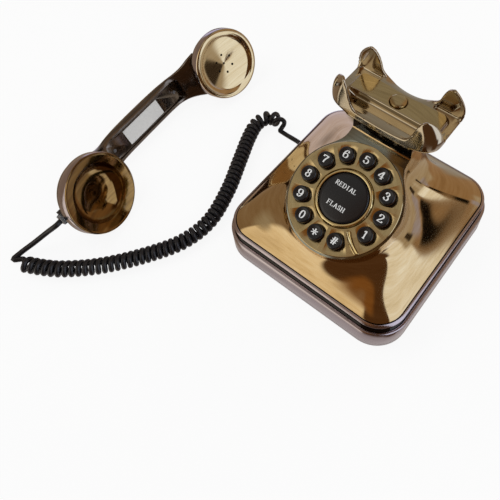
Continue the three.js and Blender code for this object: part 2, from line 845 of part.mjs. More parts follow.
/** The saddle on top of the column: four horns, low ends, a platform and a trough before it. */
function cradleSaddle() {
  const wall = cradle.wall;
  const outer = solid(loft(cradleLevels.map(([z, ...size]) => rectRing(...size, z))));
  const inside = cradleLevels
    .filter(([z]) => z > cradle.endTop)
    .map(([z, half, front, back, frontCorner, backCorner]) =>
      rectRing(half - wall, front + wall, back - wall, frontCorner - wall, backCorner - wall, z),
    );
  const floorRing = inside[0].map((p) => vec(p.x - Math.sign(p.x) * cradle.hollowEdge, p.y, cradle.endTop));
  const lidRing = inside[inside.length - 1].map((p) => vec(p.x, p.y, p.z + THROUGH));
  const hollow = solid(loft([floorRing, ...inside, lidRing]));
  const troughBack = cradle.platformFront + THROUGH;
  const trough = solid(
    loft([
      rectRing(cradle.troughHalf, cradle.troughFoot, troughBack, 1.5, 1, cradle.troughFloor),
      rectRing(cradle.platformHalf, cradle.lipBack, troughBack, 7, 1, cradle.endTop + 0.2),
    ]),
  );
  const middle = (cradle.platformFront + cradle.platformBack) / 2;
  const frontValley = solid(prismY(spanned(hornCurves.front), 0, middle));
  const endValley = solid(prismX(smooth(hornCurves.end, 26), -base.half, base.half));
  const platformRing = (z) =>
    rectRing(cradle.platformHalf, cradle.platformFront, cradle.platformBack, 1, cradle.platformCorner, z);
  const platform = solid(loft([platformRing(cradle.troughFloor - 1), platformRing(cradle.platformTop)]));
  const rear = cradleBack - wall / 2;
  const saddle = solid(
    block(-cradle.saddleHalf, cradle.saddleHalf, middle, rear, cradle.troughFloor - 1, cradle.platformTop),
  );
  const bore = solid(rod(plunger.bore, plungerSeat, cradle.platformTop + THROUGH, 20), move(0, plunger.y, 0));
  const stemBore = solid(rod(plunger.stem + CLEAR, neck.top - 1, plungerSeat + 1, 12), move(0, plunger.y, 0));
  const screwHoles = [-1, 1].map((side) =>
    solid(
      rod(cradleScrew.shank + CLEAR, neck.top - 1, neck.top + 3.2, 8),
      move(side * cradleScrew.x, cradleScrew.y, 0),
    ),
  );
  const walls = cut(outer, hollow, trough, frontValley, endValley);
  return cut(join(walls, platform, saddle), saddleCutter(), bore, stemBore, ...screwHoles);
}

/** The round hook button and its stem. */
function hookPlunger() {
  const seat = plungerTop - plunger.thick;
  const stop = neck.top - shell.wall - CLEAR;
  return turned(
    [
      [0, stemBottom],
      [plunger.stem, stemBottom],
      [plunger.stem, stop - 1.2],
      [plunger.flange, stop - 1.2],
      [plunger.flange, stop],
      [plunger.stem, stop],
      [plunger.stem, seat],
      [plunger.radius, seat],
      [plunger.radius, plungerTop - 0.8],
      [plunger.radius - 0.8, plungerTop],
      [0, plungerTop],
    ],
    16,
  );
}

function hookSwitchBody() {
  const reach = neck.half - shell.wall - 6 * CLEAR;
  const low = ledgeTop + CLEAR;
  const front = hookSwitch.bracketAt - plunger.y - hookSwitch.bracketY / 2;
  const bracket = solid(
    block(-reach, reach, front, front + hookSwitch.bracketY, low, low + hookSwitch.bracketThick),
  );
  const body = solid(
    block(-hookSwitch.x / 2, hookSwitch.x / 2, -hookSwitch.y / 2, hookSwitch.y / 2, low, switchTop - 1.4),
  );
  const lever = solid(rod(1.6, switchTop - 3, switchTop, 10));
  return join(bracket, body, lever);
}

// ---------------------------------------------------------------- pieces inside the base
function mainBoardPlate() {
  const low = mainBoard.raise + CLEAR;
  const halfX = mainBoard.x / 2;
  const halfY = mainBoard.y / 2;
  const board = block(-halfX, halfX, -halfY, halfY, low, low + mainBoard.thick);
  const holes = screwPlaces.map(([x, y]) =>
    solid(rod(boss.radius + 1, low - 1, low + 5, 12), move(x, y - mainBoard.cy, 0)),
  );
  return cut(solid(board), ...holes);
}

function ringerSpeaker() {
  const low = mainBoard.raise + mainBoard.thick + 2 * CLEAR;
  return turned(
    [
      [0, low],
      [ringer.radius * 0.6, low],
      [ringer.radius * 0.6, low + 2.4],
      [ringer.radius, low + 3.4],
      [ringer.radius, low + ringer.height],
      [ringer.radius - 2, low + ringer.height],
      [ringer.radius * 0.4, low + ringer.height - 2.2],
      [0, low + ringer.height - 2.2],
    ],
    18,
  );
}

/** The slide switch: a knob through the back wall on a flange behind it. */
function ringerSwitchSlide() {
  const wallInside = base.half - base.wall;
  const half = ringerSwitch.knob / 2;
  const tall = ringerSwitch.knobHeight / 2;
  const knob = solid(block(-half, half, wallInside - 2, base.half + ringerSwitch.proud, -tall, tall));
  const flange = solid(
    block(-ringerSwitch.flange / 2, ringerSwitch.flange / 2, wallInside - 2, wallInside - CLEAR, -4, 4),
  );
  return join(knob, flange);
}

// ---------------------------------------------------------------- handset
const halfSpan = handset.centres / 2;
const coverScrewAt = handle.coverLength / 2 - coverScrew.inset;
const mouthFrame = new THREE.Matrix4().makeRotationY(rad(mouth.tilt)).setPosition(-halfSpan, 0, 0);
const earFrame = new THREE.Matrix4().makeRotationY(-rad(ear.tilt)).setPosition(halfSpan, 0, 0);

/** Half of the handle's section stations: place, half width, inner face, back. */
const handleStations = [
  [0, handle.half, handle.front, handle.back],
  [16, handle.half, handle.front, handle.back + 0.4],
  [30, handle.half, handle.front, handle.back + 2],
  [41, handle.half + 0.2, handle.front + 0.8, handle.back + 5.6],
  [49, handle.half + 1, handle.front + 4.6, handle.back + 9.8],
  [56, handle.half + 3.2, handle.front + 9.6, handle.back + 14.6],
  [63, handle.half + 6.6, handle.front + 14, handle.back + 19],
  [70, handle.half + 8.6, handle.front + 16.4, handle.back + 22],
];

/** A bevelled handle section: flat inner face, slanted sides and a rounded back. */
function handleSection(along, half, front, back) {
  const depth = front - back;
  const quarter = [
    [0.74, 0],
    [0.95, -0.14],
    [1, -0.34],
    [0.96, -0.62],
    [0.8, -0.84],
    [0.5, -0.97],
  ];
  const side = quarter.map(([t, n]) => [t * half, front + n * depth]);
  const outline = [...side.map(([t, n]) => [-t, n]), [0, back], ...side.reverse()];
  return outline.map(([t, n]) => vec(along, t, n));
}

/** The outside of a cup below its cap. */
function cupOutline(radius) {
  const reach = radius - cup.inset;
  return [
    [0, -cup.depth],
    [reach * 0.34, -cup.depth + 0.5],
    [reach * 0.6, -cup.depth + 3],
    [reach * 0.8, -cup.depth + 7],
    [reach * 0.93, -cup.depth + 12],
    [reach, -cap.skirt - 3],
    [reach, -cap.skirt - CLEAR],
    [radius - cap.wall - CLEAR - 0.2, -cap.skirt - CLEAR],
    [radius - cap.wall - CLEAR - 0.2, -cap.spigot],
    [0, -cap.spigot],
  ];
}

/** The one-piece back of the handset: two cups joined by the arched handle. */
function handsetShell() {
  const stations = [...handleStations].reverse().map(([l, ...rest]) => [-l, ...rest]);
  const rings = [...stations.slice(0, -1), ...handleStations].map((s) => handleSection(...s));
  const along = loft(rings);
  const grip = solid(along);
  const inner = (radius) => radius - cap.wall - handset.wall - 0.4;
  const mouthCup = solid(turned(cupOutline(mouth.radius), 26), mouthFrame);
  const earCup = solid(turned(cupOutline(ear.radius), 26), earFrame);
  const mouthHollow = turned(
    [
      [0, -cup.depth + handset.wall],
      [inner(mouth.radius) * 0.72, -cup.depth + handset.wall + 4],
      [inner(mouth.radius), -cup.depth + handset.wall + 11],
      [inner(mouth.radius), 0],
      [0, 0],
    ],
    16,
  );
  const earShelf = -cap.skirt - capsule.earHeight + 0.4;
  const earHollow = turned(
    [
      [0, -cup.depth + handset.wall],
      [inner(ear.radius) * 0.62, -cup.depth + handset.wall + 2.6],
      [inner(ear.radius) * 0.72, earShelf],
      [inner(ear.radius), earShelf],
      [inner(ear.radius), 0],
      [0, 0],
    ],
    16,
  );
  const micSeat = solid(
    washer(capsule.micRadius + CLEAR + 1.6, capsule.micRadius + CLEAR, -cup.depth + 1.4, micTop - 1.5, 16),
    mouthFrame,
  );
  const hollows = [solid(mouthHollow, mouthFrame), solid(earHollow, earFrame)];
  const coverHalf = handle.coverLength / 2 + CLEAR;
  const coverWide = handle.coverHalf + CLEAR;
  const seatDepth = handle.recess + handle.coverThick + CLEAR;
  const seatLow = handle.front - seatDepth;
  const seat = block(-coverHalf, coverHalf, -coverWide, coverWide, seatLow, handle.front + 20);
  const pocketHalf = handsetWeight.length / 2 + 3;
  const pocketWide = handsetWeight.width / 2 + 1;
  const pocketFloor = handle.front - seatDepth - handsetWeight.thick - 2 * CLEAR;
  const pocket = block(-pocketHalf, pocketHalf, -pocketWide, pocketWide, pocketFloor, handle.front);
  const screwHoles = [-1, 1].map((side) =>
    solid(rod(coverScrew.shank + CLEAR, seatLow - 3.4, handle.front, 8), move(side * coverScrewAt, 0, 0)),
  );
  const window = block(
    handsetJack.front - THROUGH - 4,
    handsetJack.front + handsetJack.depth,
    -handsetJack.width / 2 - CLEAR,
    handsetJack.width / 2 + CLEAR,
    handsetJack.n - handsetJack.height / 2 - CLEAR,
    handsetJack.n + handsetJack.height / 2 + CLEAR,
  );
  return cut(
    join(cut(join(grip, mouthCup, earCup), ...hollows), micSeat),
    solid(seat),
    solid(pocket),
    ...screwHoles,
    solid(window),
  );
}

const bowlBottom = -mouth.rimStep - mouth.bowlDepth;
const micTop = bowlBottom - cap.wall - CLEAR;

/** The mouthpiece: a bright rim, a sloping ring, a fine step and a deep smooth bowl. */
function mouthCap() {
  const r = mouth.radius;
  const w = cap.wall;
  const step = mouth.rimStep;
  return turned(
    [
      [0, bowlBottom - w],
      [mouth.bowl * 0.5, bowlBottom - w + 1],
      [mouth.bowl * 0.86, -step - mouth.bowlDepth * 0.5 - w],
      [mouth.bowl + w * 0.2, -step - w - 0.6],
      [r - w - handset.wall - 0.8, -cap.spigot + CLEAR],
      [r - w, -cap.spigot + CLEAR],
      [r - w, -cap.skirt],
      [r - 0.5, -cap.skirt],
      [r, -cap.skirt + 0.8],
      [r, -0.9],
      [r - 0.6, 0],
      [r - 1.6, -0.1],
      [mouth.bowl + 0.7, -step + 0.6],
      [mouth.bowl, -step - 0.1],
      [mouth.bowl * 0.93, -step - mouth.bowlDepth * 0.34],
      [mouth.bowl * 0.74, -step - mouth.bowlDepth * 0.72],
      [mouth.bowl * 0.42, bowlBottom + 0.6],
      [0, bowlBottom],
    ],
    26,
  );
}

/** The earpiece: a bevelled ring round a conical dish with seven sound holes. */
function earCap() {
  const r = ear.radius;
  const w = cap.wall;
  const step = ear.rimStep;
  const bottom = -step - ear.dishDepth;
  const body = turned(
    [
      [0, bottom - w],
      [ear.dish * 0.5, bottom - w + ear.dishDepth * 0.42],
      [ear.dish, -step - w - 0.5],
      [r - w, -step - w],
      [r - w, -cap.skirt],
      [r - 0.5, -cap.skirt],
      [r, -cap.skirt + 0.8],
      [r, -1.9],
      [r - 1.2, -0.5],
      [r - 2.6, 0],
      [ear.dish + 1.4, -step + 0.9],
      [ear.dish, -step],
      [ear.dish - 0.6, -step - 0.6],
      [0, bottom],
    ],
    26,
  );
  const places = [[0, 0]];
  for (let i = 0; i < 6; i++) {
    const angle = rad(80 + 60 * i);
    places.push([ear.holeRing * Math.cos(angle), ear.holeRing * Math.sin(angle)]);
  }
  const holes = places.map(([x, y]) => solid(rod(ear.hole, bottom - w - 2, 1, 6), move(x, y, 0)));
  return cut(solid(body), ...holes);
}

function innerCover() {
  const top = handle.front - handle.recess;
  const half = handle.coverLength / 2;
  const wide = handle.coverHalf;
  const strip = solid(prism(roundedShape(half, wide, 3), top - handle.coverThick, top));
  const labelSeat = block(
    label.at - label.length / 2 - CLEAR,
    label.at + label.length / 2 + CLEAR,
    -label.width / 2 - CLEAR,
    label.width / 2 + CLEAR,
    top - label.thick - CLEAR,
    top + 1,
  );
  const holes = [-1, 1].flatMap((side) => [
    solid(rod(coverScrew.shank + CLEAR, top - 9, top + 1, 8), move(side * coverScrewAt, 0, 0)),
    solid(
      rod(coverScrew.head + CLEAR, top - coverScrew.headHeight, top + 1, 8),
      move(side * coverScrewAt, 0, 0),
    ),
  ]);
  return cut(strip, solid(labelSeat), ...holes);
}

const blankLabel = () => {
  const top = handle.front - handle.recess;
  const half = label.length / 2;
  return block(label.at - half, label.at + half, -label.width / 2, label.width / 2, top - label.thick, top);
};

function weightBar() {
  const top = handle.front - handle.recess - handle.coverThick - 2 * CLEAR;
  const half = handsetWeight.length / 2;
  const wide = handsetWeight.width / 2;
  return block(-half, half, -wide, wide, top - handsetWeight.thick, top);
}

function handsetJackBody() {
  const { front, depth, width, height, n } = handsetJack;
  const body = block(front, front + depth, -width / 2, width / 2, n - height / 2, n + height / 2);
  const bore = block(
    front - THROUGH,
    front + jack.mouthDepth,
    -plug.width / 2 - CLEAR,
    plug.width / 2 + CLEAR,
    n - plug.height / 2 - CLEAR,
    n + plug.height / 2 + CLEAR,
  );
  return cut(solid(body), solid(bore));
}

/** A modular plug along +X from its cord end at x = 0 to its nose. */
function modularPlug() {
  const half = plug.width / 2;
  const tall = plug.height / 2;
  const outline = [
    [0, -tall + 0.8],
    [3, -tall],
    [plug.length, -tall],
    [plug.length, tall],
    [3, tall],
    [0, tall - 0.8],
  ];
  return prismY(outline, -half, half);
}

// ---------------------------------------------------------------- cord
/** A tube along a curve: a regular section swept by three.js's own extrusion. */
function tube(points, radius, sides) {
  const curve = new THREE.CatmullRomCurve3(points, false, "centripetal");
  const shape = new THREE.Shape(
    Array.from({ length: sides }, (_, i) => {
      const a = (2 * Math.PI * (i + 0.5)) / sides;
      return new THREE.Vector2(radius * Math.cos(a), radius * Math.sin(a));
    }),
  );
  const steps = Math.ceil(curve.getLength() / lead.spacing);
  return new THREE.ExtrudeGeometry(shape, { steps, extrudePath: curve, curveSegments: 1 });
}

/** Centre points of the curly cord: a helix round the route that starts and ends along it. */
function curlPoints() {
  const route = new THREE.CatmullRomCurve3(
    curlRoute.map(([x, y]) => vec(x, y, curlHeight)),
    false,
    "centripetal",
  );
  route.arcLengthDivisions = 2400;
  const length = route.getLength();
  const cells = 1200;
  const closest = 2 * curl.strand + curl.gap;
  const turnsAt = [0];
  for (let i = 1; i <= cells; i++) {
    const before = route.getTangentAt(Math.max(i - 6, 0) / cells);
    const after = route.getTangentAt(Math.min(i + 6, cells) / cells);
    const bend = (before.angleTo(after) * cells) / (12 * length);
    const place = ((i - 0.5) * length) / cells;
    const settled = THREE.MathUtils.smoothstep(place, 0, curl.looseLength);
    const open = THREE.MathUtils.lerp(curl.loose, curl.pitch, settled);
    const pitch = Math.max(open, closest / (1 - Math.min(bend * curl.radius, 0.7)));
    const fromEnd = (Math.min(i, cells - i) * length) / cells;
    const rate = THREE.MathUtils.smoothstep(fromEnd, -curl.ramp / 4, curl.ramp);
    turnsAt.push(turnsAt[i - 1] + (rate * length) / cells / pitch);
  }
  const turns = turnsAt[cells];
  const total = Math.round(turns * curl.steps);
  const up = vec(0, 0, 1);
  const points = [];
  let cell = 0;
  for (let i = 0; i <= total; i++) {
    const turn = (i / total) * turns;
    while (cell < cells - 1 && turnsAt[cell + 1] < turn) cell++;
    const share = (turn - turnsAt[cell]) / (turnsAt[cell + 1] - turnsAt[cell]);
    const at = Math.min(1, (cell + share) / cells);
    const side = route.getTangentAt(at).cross(up).normalize();
    const angle = 2 * Math.PI * turn + rad(curl.start);
    points.push(
      route
        .getPointAt(at)
        .addScaledVector(side, curl.radius * Math.cos(angle))
        .addScaledVector(up, curl.radius * Math.sin(angle)),
    );
  }
  const first = points[1].clone().sub(points[0]).setZ(0).normalize();
  const last = points[total].clone().sub(points[total - 1]).setZ(0).normalize();
  return { points, turns, first, last };
}

/** One unbroken strand through centre points, closed at both ends. */
function strand(points, radius, sides) {
  const rings = points.map((p, i) => {
    const before = points[Math.max(i - 1, 0)];
    const after = points[Math.min(i + 1, points.length - 1)];
    const along = after.clone().sub(before).normalize();
    const across = vec(0, 0, 1).cross(along);
    if (across.length() < 0.05) across.set(1, 0, 0);
    across.normalize();
    const rise = along.clone().cross(across);
    return Array.from({ length: sides }, (_, j) => {
      const a = (2 * Math.PI * j) / sides;
      return p
        .clone()
        .addScaledVector(across, radius * Math.cos(a))
        .addScaledVector(rise, radius * Math.sin(a));
    });
  });
  return loft(rings);
}

/** The least distance between strands of different turns, less the strand's thickness. */
function leastGap(points) {
  let least = Infinity;
  for (let i = 0; i < points.length; i++) {
    for (let j = i + curl.steps - 2; j < Math.min(points.length, i + 3 * curl.steps); j++) {
      least = Math.min(least, points[i].distanceTo(points[j]));
    }
  }
  return least - 2 * curl.strand;
}

// ---------------------------------------------------------------- assembly
const assembly = new THREE.Group();
const bodyGroup = new THREE.Group();
const dialGroup = new THREE.Group();
dialGroup.applyMatrix4(dialFrame);
const handsetGroup = new THREE.Group();
const yaw = rad(handset.yaw);
const roll = rad(handset.roll);
const lengthAxis = vec(-Math.sin(yaw), Math.cos(yaw), 0);
const sideAxis = vec(Math.cos(yaw), Math.sin(yaw), 0);
const faceAxis = sideAxis.clone().multiplyScalar(Math.cos(roll)).setZ(Math.sin(roll));
const crossAxis = faceAxis.clone().cross(lengthAxis);
const handsetFrame = new THREE.Matrix4().makeBasis(lengthAxis, crossAxis, faceAxis);
handsetFrame.setPosition(...handset.at);
handsetGroup.applyMatrix4(handsetFrame);
const cordGroup = new THREE.Group();
assembly.add(bodyGroup, handsetGroup, cordGroup);
bodyGroup.add(dialGroup);

function add(group, name, shape, material, matrix) {
  const geometry = shape.isBufferGeometry ? shape : geometryOf(shape);
  const mesh = new THREE.Mesh(geometry, material);
  mesh.name = name;
  if (matrix) mesh.applyMatrix4(matrix);
  group.add(mesh);
  return mesh;
}

add(bodyGroup, "upper_shell", upperShell(), finishes.bronze);
add(bodyGroup, "lower_case", lowerCase(), finishes.mauve);
footPlaces.forEach(([x, y], i) => {
  add(bodyGroup, `foot_${i + 1}`, rubberFoot(), finishes.rubber, move(x, y, 0));
});
screwPlaces.forEach(([x, y], i) => {
  const piece = screw(caseScrew.head, caseScrew.headHeight, caseScrew.shank, caseScrew.length);
  const at = move(x, y, base.bottom + caseScrew.headHeight + CLEAR);
  add(bodyGroup, `case_screw_${i + 1}`, piece, finishes.steel, at);
});
add(dialGroup, "dial_plate", dialPlate(), finishes.brass);
add(dialGroup, "centre_ring", centreRing(), finishes.brightBrass);
add(dialGroup, "finger_stop", fingerStopRidge(), finishes.brightBrass);
keyPlaces.forEach(({ name, x, y }) => {
  add(dialGroup, `key_${name}`, keyCap(), finishes.blackPlastic, move(x, y, 0));
});
add(dialGroup, "redial_flash_rocker", rockerDisc(), finishes.blackPlastic);
add(dialGroup, "key_mat", keyMatDisc(), finishes.silicone);
add(dialGroup, "keypad_board", keyBoardDisc(), finishes.board);
postPlaces.forEach(([x, y], i) => {
  const piece = screw(post.screwHead, 1.4, post.screwShank, 4.2);
  const place = move(x, y, boardTop - keyBoard.thick - CLEAR);
  add(dialGroup, `board_screw_${i + 1}`, piece, finishes.steel, place);
});
add(bodyGroup, "cradle", cradleSaddle(), finishes.bronze);
[-1, 1].forEach((side, i) => {
  const piece = screw(cradleScrew.head, cradleScrew.headHeight, cradleScrew.shank, cradleScrew.length);
  const at = move(side * cradleScrew.x, cradleScrew.y, neck.top - shell.wall - CLEAR);
  add(bodyGroup, `cradle_screw_${i + 1}`, piece, finishes.steel, at);
});
add(bodyGroup, "hook_plunger", hookPlunger(), finishes.brass, move(0, plunger.y, 0));
add(bodyGroup, "hook_switch", hookSwitchBody(), finishes.blackPlastic, move(0, plunger.y, 0));
const floorSeat = floorTop + CLEAR;
const slabX = ballast.x / 2;
const slabY = ballast.y / 2;
const slab = block(-slabX, slabX, -slabY, slabY, floorSeat, floorSeat + ballast.thick);
add(bodyGroup, "ballast_plate", slab, finishes.steel, move(0, ballast.cy, 0));
add(bodyGroup, "main_board", mainBoardPlate(), finishes.board, move(0, mainBoard.cy, 0));
add(bodyGroup, "ringer", ringerSpeaker(), finishes.blackPlastic, move(ringer.x, ringer.y, 0));
add(bodyGroup, "body_jack", jackBody(jack.mouthWidth), finishes.blackPlastic, bodyJackFrame);
add(bodyGroup, "line_jack", jackBody(lineJack.mouthWidth), finishes.blackPlastic, lineJackFrame);
const switchAt = move(ringerSwitch.x, 0, ringerSwitch.z);
add(bodyGroup, "ringer_switch", ringerSwitchSlide(), finishes.blackPlastic, switchAt);

add(handsetGroup, "handset_shell", handsetShell(), finishes.gunmetal);
add(handsetGroup, "mouth_cap", mouthCap(), finishes.brightBrass, mouthFrame);
add(handsetGroup, "ear_cap", earCap(), finishes.brightBrass, earFrame);
add(handsetGroup, "inner_cover", innerCover(), finishes.gunmetal);
add(handsetGroup, "handset_label", blankLabel(), finishes.white);
add(handsetGroup, "handset_weight", weightBar(), finishes.steel);
const microphone = rod(capsule.micRadius, micTop - capsule.micHeight, micTop, 16);
add(handsetGroup, "microphone", microphone, finishes.steel, mouthFrame);
const receiverTop = -ear.rimStep - ear.dishDepth - cap.wall - CLEAR;
const receiverLow = -cap.skirt - capsule.earHeight + 0.4 + CLEAR;
const receiver = rod(capsule.earRadius - capsule.earInset, receiverLow, receiverTop, 24);
add(handsetGroup, "receiver", receiver, finishes.steel, earFrame);
add(handsetGroup, "handset_jack", handsetJackBody(), finishes.blackPlastic);
[-1, 1].forEach((side, i) => {
  const piece = screw(coverScrew.head, coverScrew.headHeight, coverScrew.shank, coverScrew.length);
  const turn = new THREE.Matrix4().makeRotationX(Math.PI);
  turn.setPosition(side * coverScrewAt, 0, handle.front - handle.recess - coverScrew.headHeight + CLEAR);
  add(handsetGroup, `cover_screw_${i + 1}`, piece, finishes.steel, turn);
});

// The cord's ends: a plug in the mouthpiece cup and a plug in the base's left side.
const handsetPlugEnd = vec(handsetJack.front + jack.mouthDepth - CLEAR - plug.length, 0, handsetJack.n);
const handsetPlugPlace = move(handsetPlugEnd.x, 0, handsetPlugEnd.z);
add(handsetGroup, "handset_plug", modularPlug(), finishes.clear, handsetPlugPlace);
const bodyPlugEnd = vec(-base.half + CLEAR + jack.mouthDepth - CLEAR - plug.length, bodyJack.y, bodyJack.z);
const bodyPlugPlace = move(bodyPlugEnd.x, bodyPlugEnd.y, bodyPlugEnd.z);
add(cordGroup, "body_plug", modularPlug(), finishes.clear, bodyPlugPlace);

const curls = curlPoints();
const leadStart = handsetPlugEnd.clone().setX(handsetPlugEnd.x - CLEAR).applyMatrix4(handsetFrame);
const tail = (from, direction, distance) => from.clone().addScaledVector(direction, distance);
const firstPoint = curls.points[0];
const lastPoint = curls.points[curls.points.length - 1];
const strandPoints = [
  tail(firstPoint, curls.first, -curl.straight),
  ...curls.points,
  tail(lastPoint, curls.last, curl.straight),
];
add(cordGroup, "curly_cord", strand(strandPoints, curl.strand, curl.sides), finishes.cord);
const leave = lengthAxis.clone().negate();
const handsetLead = [
  leadStart,
  tail(leadStart, leave, 4),
  vec(-189, -163, 19),
  vec(-196, -174.5, 10.5),
  vec(-201.5, -186, 4.6),
  vec(-202.5, -193.5, 2.9),
  tail(strandPoints[0], curls.first, -4),
  tail(strandPoints[0], curls.first, -CLEAR),
];
add(cordGroup, "handset_lead", tube(handsetLead, lead.radius, lead.sides), finishes.cord);
const strandEnd = strandPoints[strandPoints.length - 1];
const bodyLead = [
  tail(strandEnd, curls.last, CLEAR),
  tail(strandEnd, curls.last, 4),
  vec(-103, 36.6, 9.6),
  vec(-92, 33.4, 12),
  vec(bodyPlugEnd.x - CLEAR - 4, bodyJack.y, bodyJack.z),
  vec(bodyPlugEnd.x - CLEAR, bodyJack.y, bodyJack.z),
];
add(cordGroup, "body_lead", tube(bodyLead, lead.radius, lead.sides), finishes.cord);
console.log(`curly cord: ${curls.turns.toFixed(1)} curls, least gap ${leastGap(curls.points).toFixed(2)} mm`);

// The origin: under the middle of the telephone and its handset, on the table.
assembly.updateMatrixWorld(true);
const extent = new THREE.Box3();
assembly.traverse((piece) => {
  const onCord = piece.parent === cordGroup || piece.name.endsWith("_plug");
  if (piece.isMesh && !onCord) extent.expandByObject(piece, true);
});
const middle = extent.getCenter(vec(0, 0, 0));
assembly.position.set(-middle.x, -middle.y, 0);

export default assembly;
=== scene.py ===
"""A rotary-look push-button telephone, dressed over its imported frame.

Lengths in the classes are millimetres in the telephone's own frame (the base's centre on the
table, +X right, +Y back, +Z up); `Shop.to_row` takes a finished mesh to the row frame in metres.
"""

import logging
import math
from collections.abc import Sequence
from dataclasses import dataclass, field
from enum import Enum

import bmesh
import bpy
from mathutils import Matrix, Vector


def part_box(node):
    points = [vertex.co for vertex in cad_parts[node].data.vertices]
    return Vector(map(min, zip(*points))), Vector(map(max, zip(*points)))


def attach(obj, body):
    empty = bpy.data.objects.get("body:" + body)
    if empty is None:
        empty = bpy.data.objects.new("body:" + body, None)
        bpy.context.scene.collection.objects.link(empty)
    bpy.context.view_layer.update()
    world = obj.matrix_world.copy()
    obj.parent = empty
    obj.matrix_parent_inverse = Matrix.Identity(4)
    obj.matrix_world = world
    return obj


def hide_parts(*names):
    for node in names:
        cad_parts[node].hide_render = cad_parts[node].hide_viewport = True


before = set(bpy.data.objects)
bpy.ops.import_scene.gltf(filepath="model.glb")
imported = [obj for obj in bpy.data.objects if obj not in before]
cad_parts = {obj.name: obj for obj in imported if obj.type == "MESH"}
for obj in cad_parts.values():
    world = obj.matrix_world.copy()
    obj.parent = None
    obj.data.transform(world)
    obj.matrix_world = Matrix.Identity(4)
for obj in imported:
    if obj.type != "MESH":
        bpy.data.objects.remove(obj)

logging.basicConfig(level=logging.INFO, format="%(message)s")
LOG = logging.getLogger("telephone")

Point2 = tuple[float, float]
Point3 = tuple[float, float, float]
Piece = bpy.types.Object
Finish = bpy.types.Material
Tree = bpy.types.NodeTree
Node = bpy.types.Node
Socket = bpy.types.NodeSocket
MM = 0.001


# ------------------------------------------------------------------ numbers and curves
def srgb(code: str) -> tuple[float, float, float, float]:
    """Turns an sRGB hex colour into the linear colour that a shader takes.

    Args:
        code: six hex digits, such as "8A7256".

    Returns:
        Linear red, green, blue and an alpha of 1.
    """
    parts = [int(code[i : i + 2], 16) / 255 for i in (0, 2, 4)]
    linear = [p / 12.92 if p <= 0.04045 else ((p + 0.055) / 1.055) ** 2.4 for p in parts]
    return (linear[0], linear[1], linear[2], 1.0)


def smoothstep(value: float, low: float, high: float) -> float:
    """The smooth share of the way from low to high."""
    share = min(max((value - low) / (high - low), 0.0), 1.0)
    return share * share * (3 - 2 * share)


def lerp(a: float, b: float, share: float) -> float:
    """The number a share of the way from a to b."""
    return a + (b - a) * share


def soft_min(a: float, b: float, k: float) -> float:
    """The smaller of two numbers, blended where they are within k of each other."""
    return min(a, b) - max(k - abs(a - b), 0.0) ** 2 / (4 * k)


def soft_max(a: float, b: float, k: float) -> float:
    """The larger of two numbers, blended where they are within k of each other."""
    return -soft_min(-a, -b, k)


@dataclass
class Path:
    """A centripetal Catmull-Rom curve through points, which can be read by its length."""

    points: list[Vector]
    samples: int = 2400

    def __post_init__(self) -> None:
        """Measures the curve once."""
        self.marks = [0.0]
        before = self.at(0.0)
        for i in range(1, self.samples + 1):
            here = self.at(i / self.samples)
            self.marks.append(self.marks[-1] + (here - before).length)
            before = here

    @property
    def length(self) -> float:
        """The curve's length."""
        return self.marks[-1]

    def at(self, share: float) -> Vector:
        """The point at a share of the curve's own parameter."""
        spans = len(self.points) - 1
        place = min(max(share, 0.0), 1.0) * spans
        i = min(int(place), spans - 1)
        t = place - i
        p = self.points
        p1, p2 = p[i], p[i + 1]
        p0 = p[i - 1] if i > 0 else p1 * 2 - p2
        p3 = p[i + 2] if i + 2 <= spans else p2 * 2 - p1
        d0, d1, d2 = ((b - a).length_squared ** 0.25 for a, b in ((p0, p1), (p1, p2), (p2, p3)))
        d1 = max(d1, 1e-4)
        d0, d2 = max(d0, 1e-4), max(d2, 1e-4)
        leave = ((p1 - p0) / d0 - (p2 - p0) / (d0 + d1) + (p2 - p1) / d1) * d1
        arrive = ((p2 - p1) / d1 - (p3 - p1) / (d1 + d2) + (p3 - p2) / d2) * d1
        a = p1 * 2 - p2 * 2 + leave + arrive
        b = p2 * 3 - p1 * 3 - leave * 2 - arrive
        return a * t**3 + b * t**2 + leave * t + p1

    def at_length(self, share: float) -> Vector:
        """The point at a share of the curve's length."""
        wanted = min(max(share, 0.0), 1.0) * self.length
        low, high = 0, self.samples
        while high - low > 1:
            middle = (low + high) // 2
            if self.marks[middle] <= wanted:
                low = middle
            else:
                high = middle
        span = self.marks[high] - self.marks[low]
        inner = (wanted - self.marks[low]) / span if span else 0.0
        return self.at((low + inner) / self.samples)

    def tangent(self, share: float) -> Vector:
        """The direction at a share of the curve's length."""
        step = 0.0001
        return (self.at_length(share + step) - self.at_length(share - step)).normalized()


def smooth_line(points: Sequence[Point2], count: int) -> list[Point2]:
    """Points of a smooth flat curve through a few given ones.

    Args:
        points: the flat points that the curve passes through.
        count: how many spans to divide it into.

    Returns:
        The curve's points, count + 1 of them.
    """
    path = Path([Vector((a, b, 0.0)) for a, b in points], 200)
    return [(p.x, p.y) for p in (path.at(i / count) for i in range(count + 1))]


def show(name: str, data: bpy.types.ID) -> Piece:
    """A new object in the scene that holds some data."""
    made = bpy.data.objects.new(name, data)
    bpy.context.scene.collection.objects.link(made)
    return made


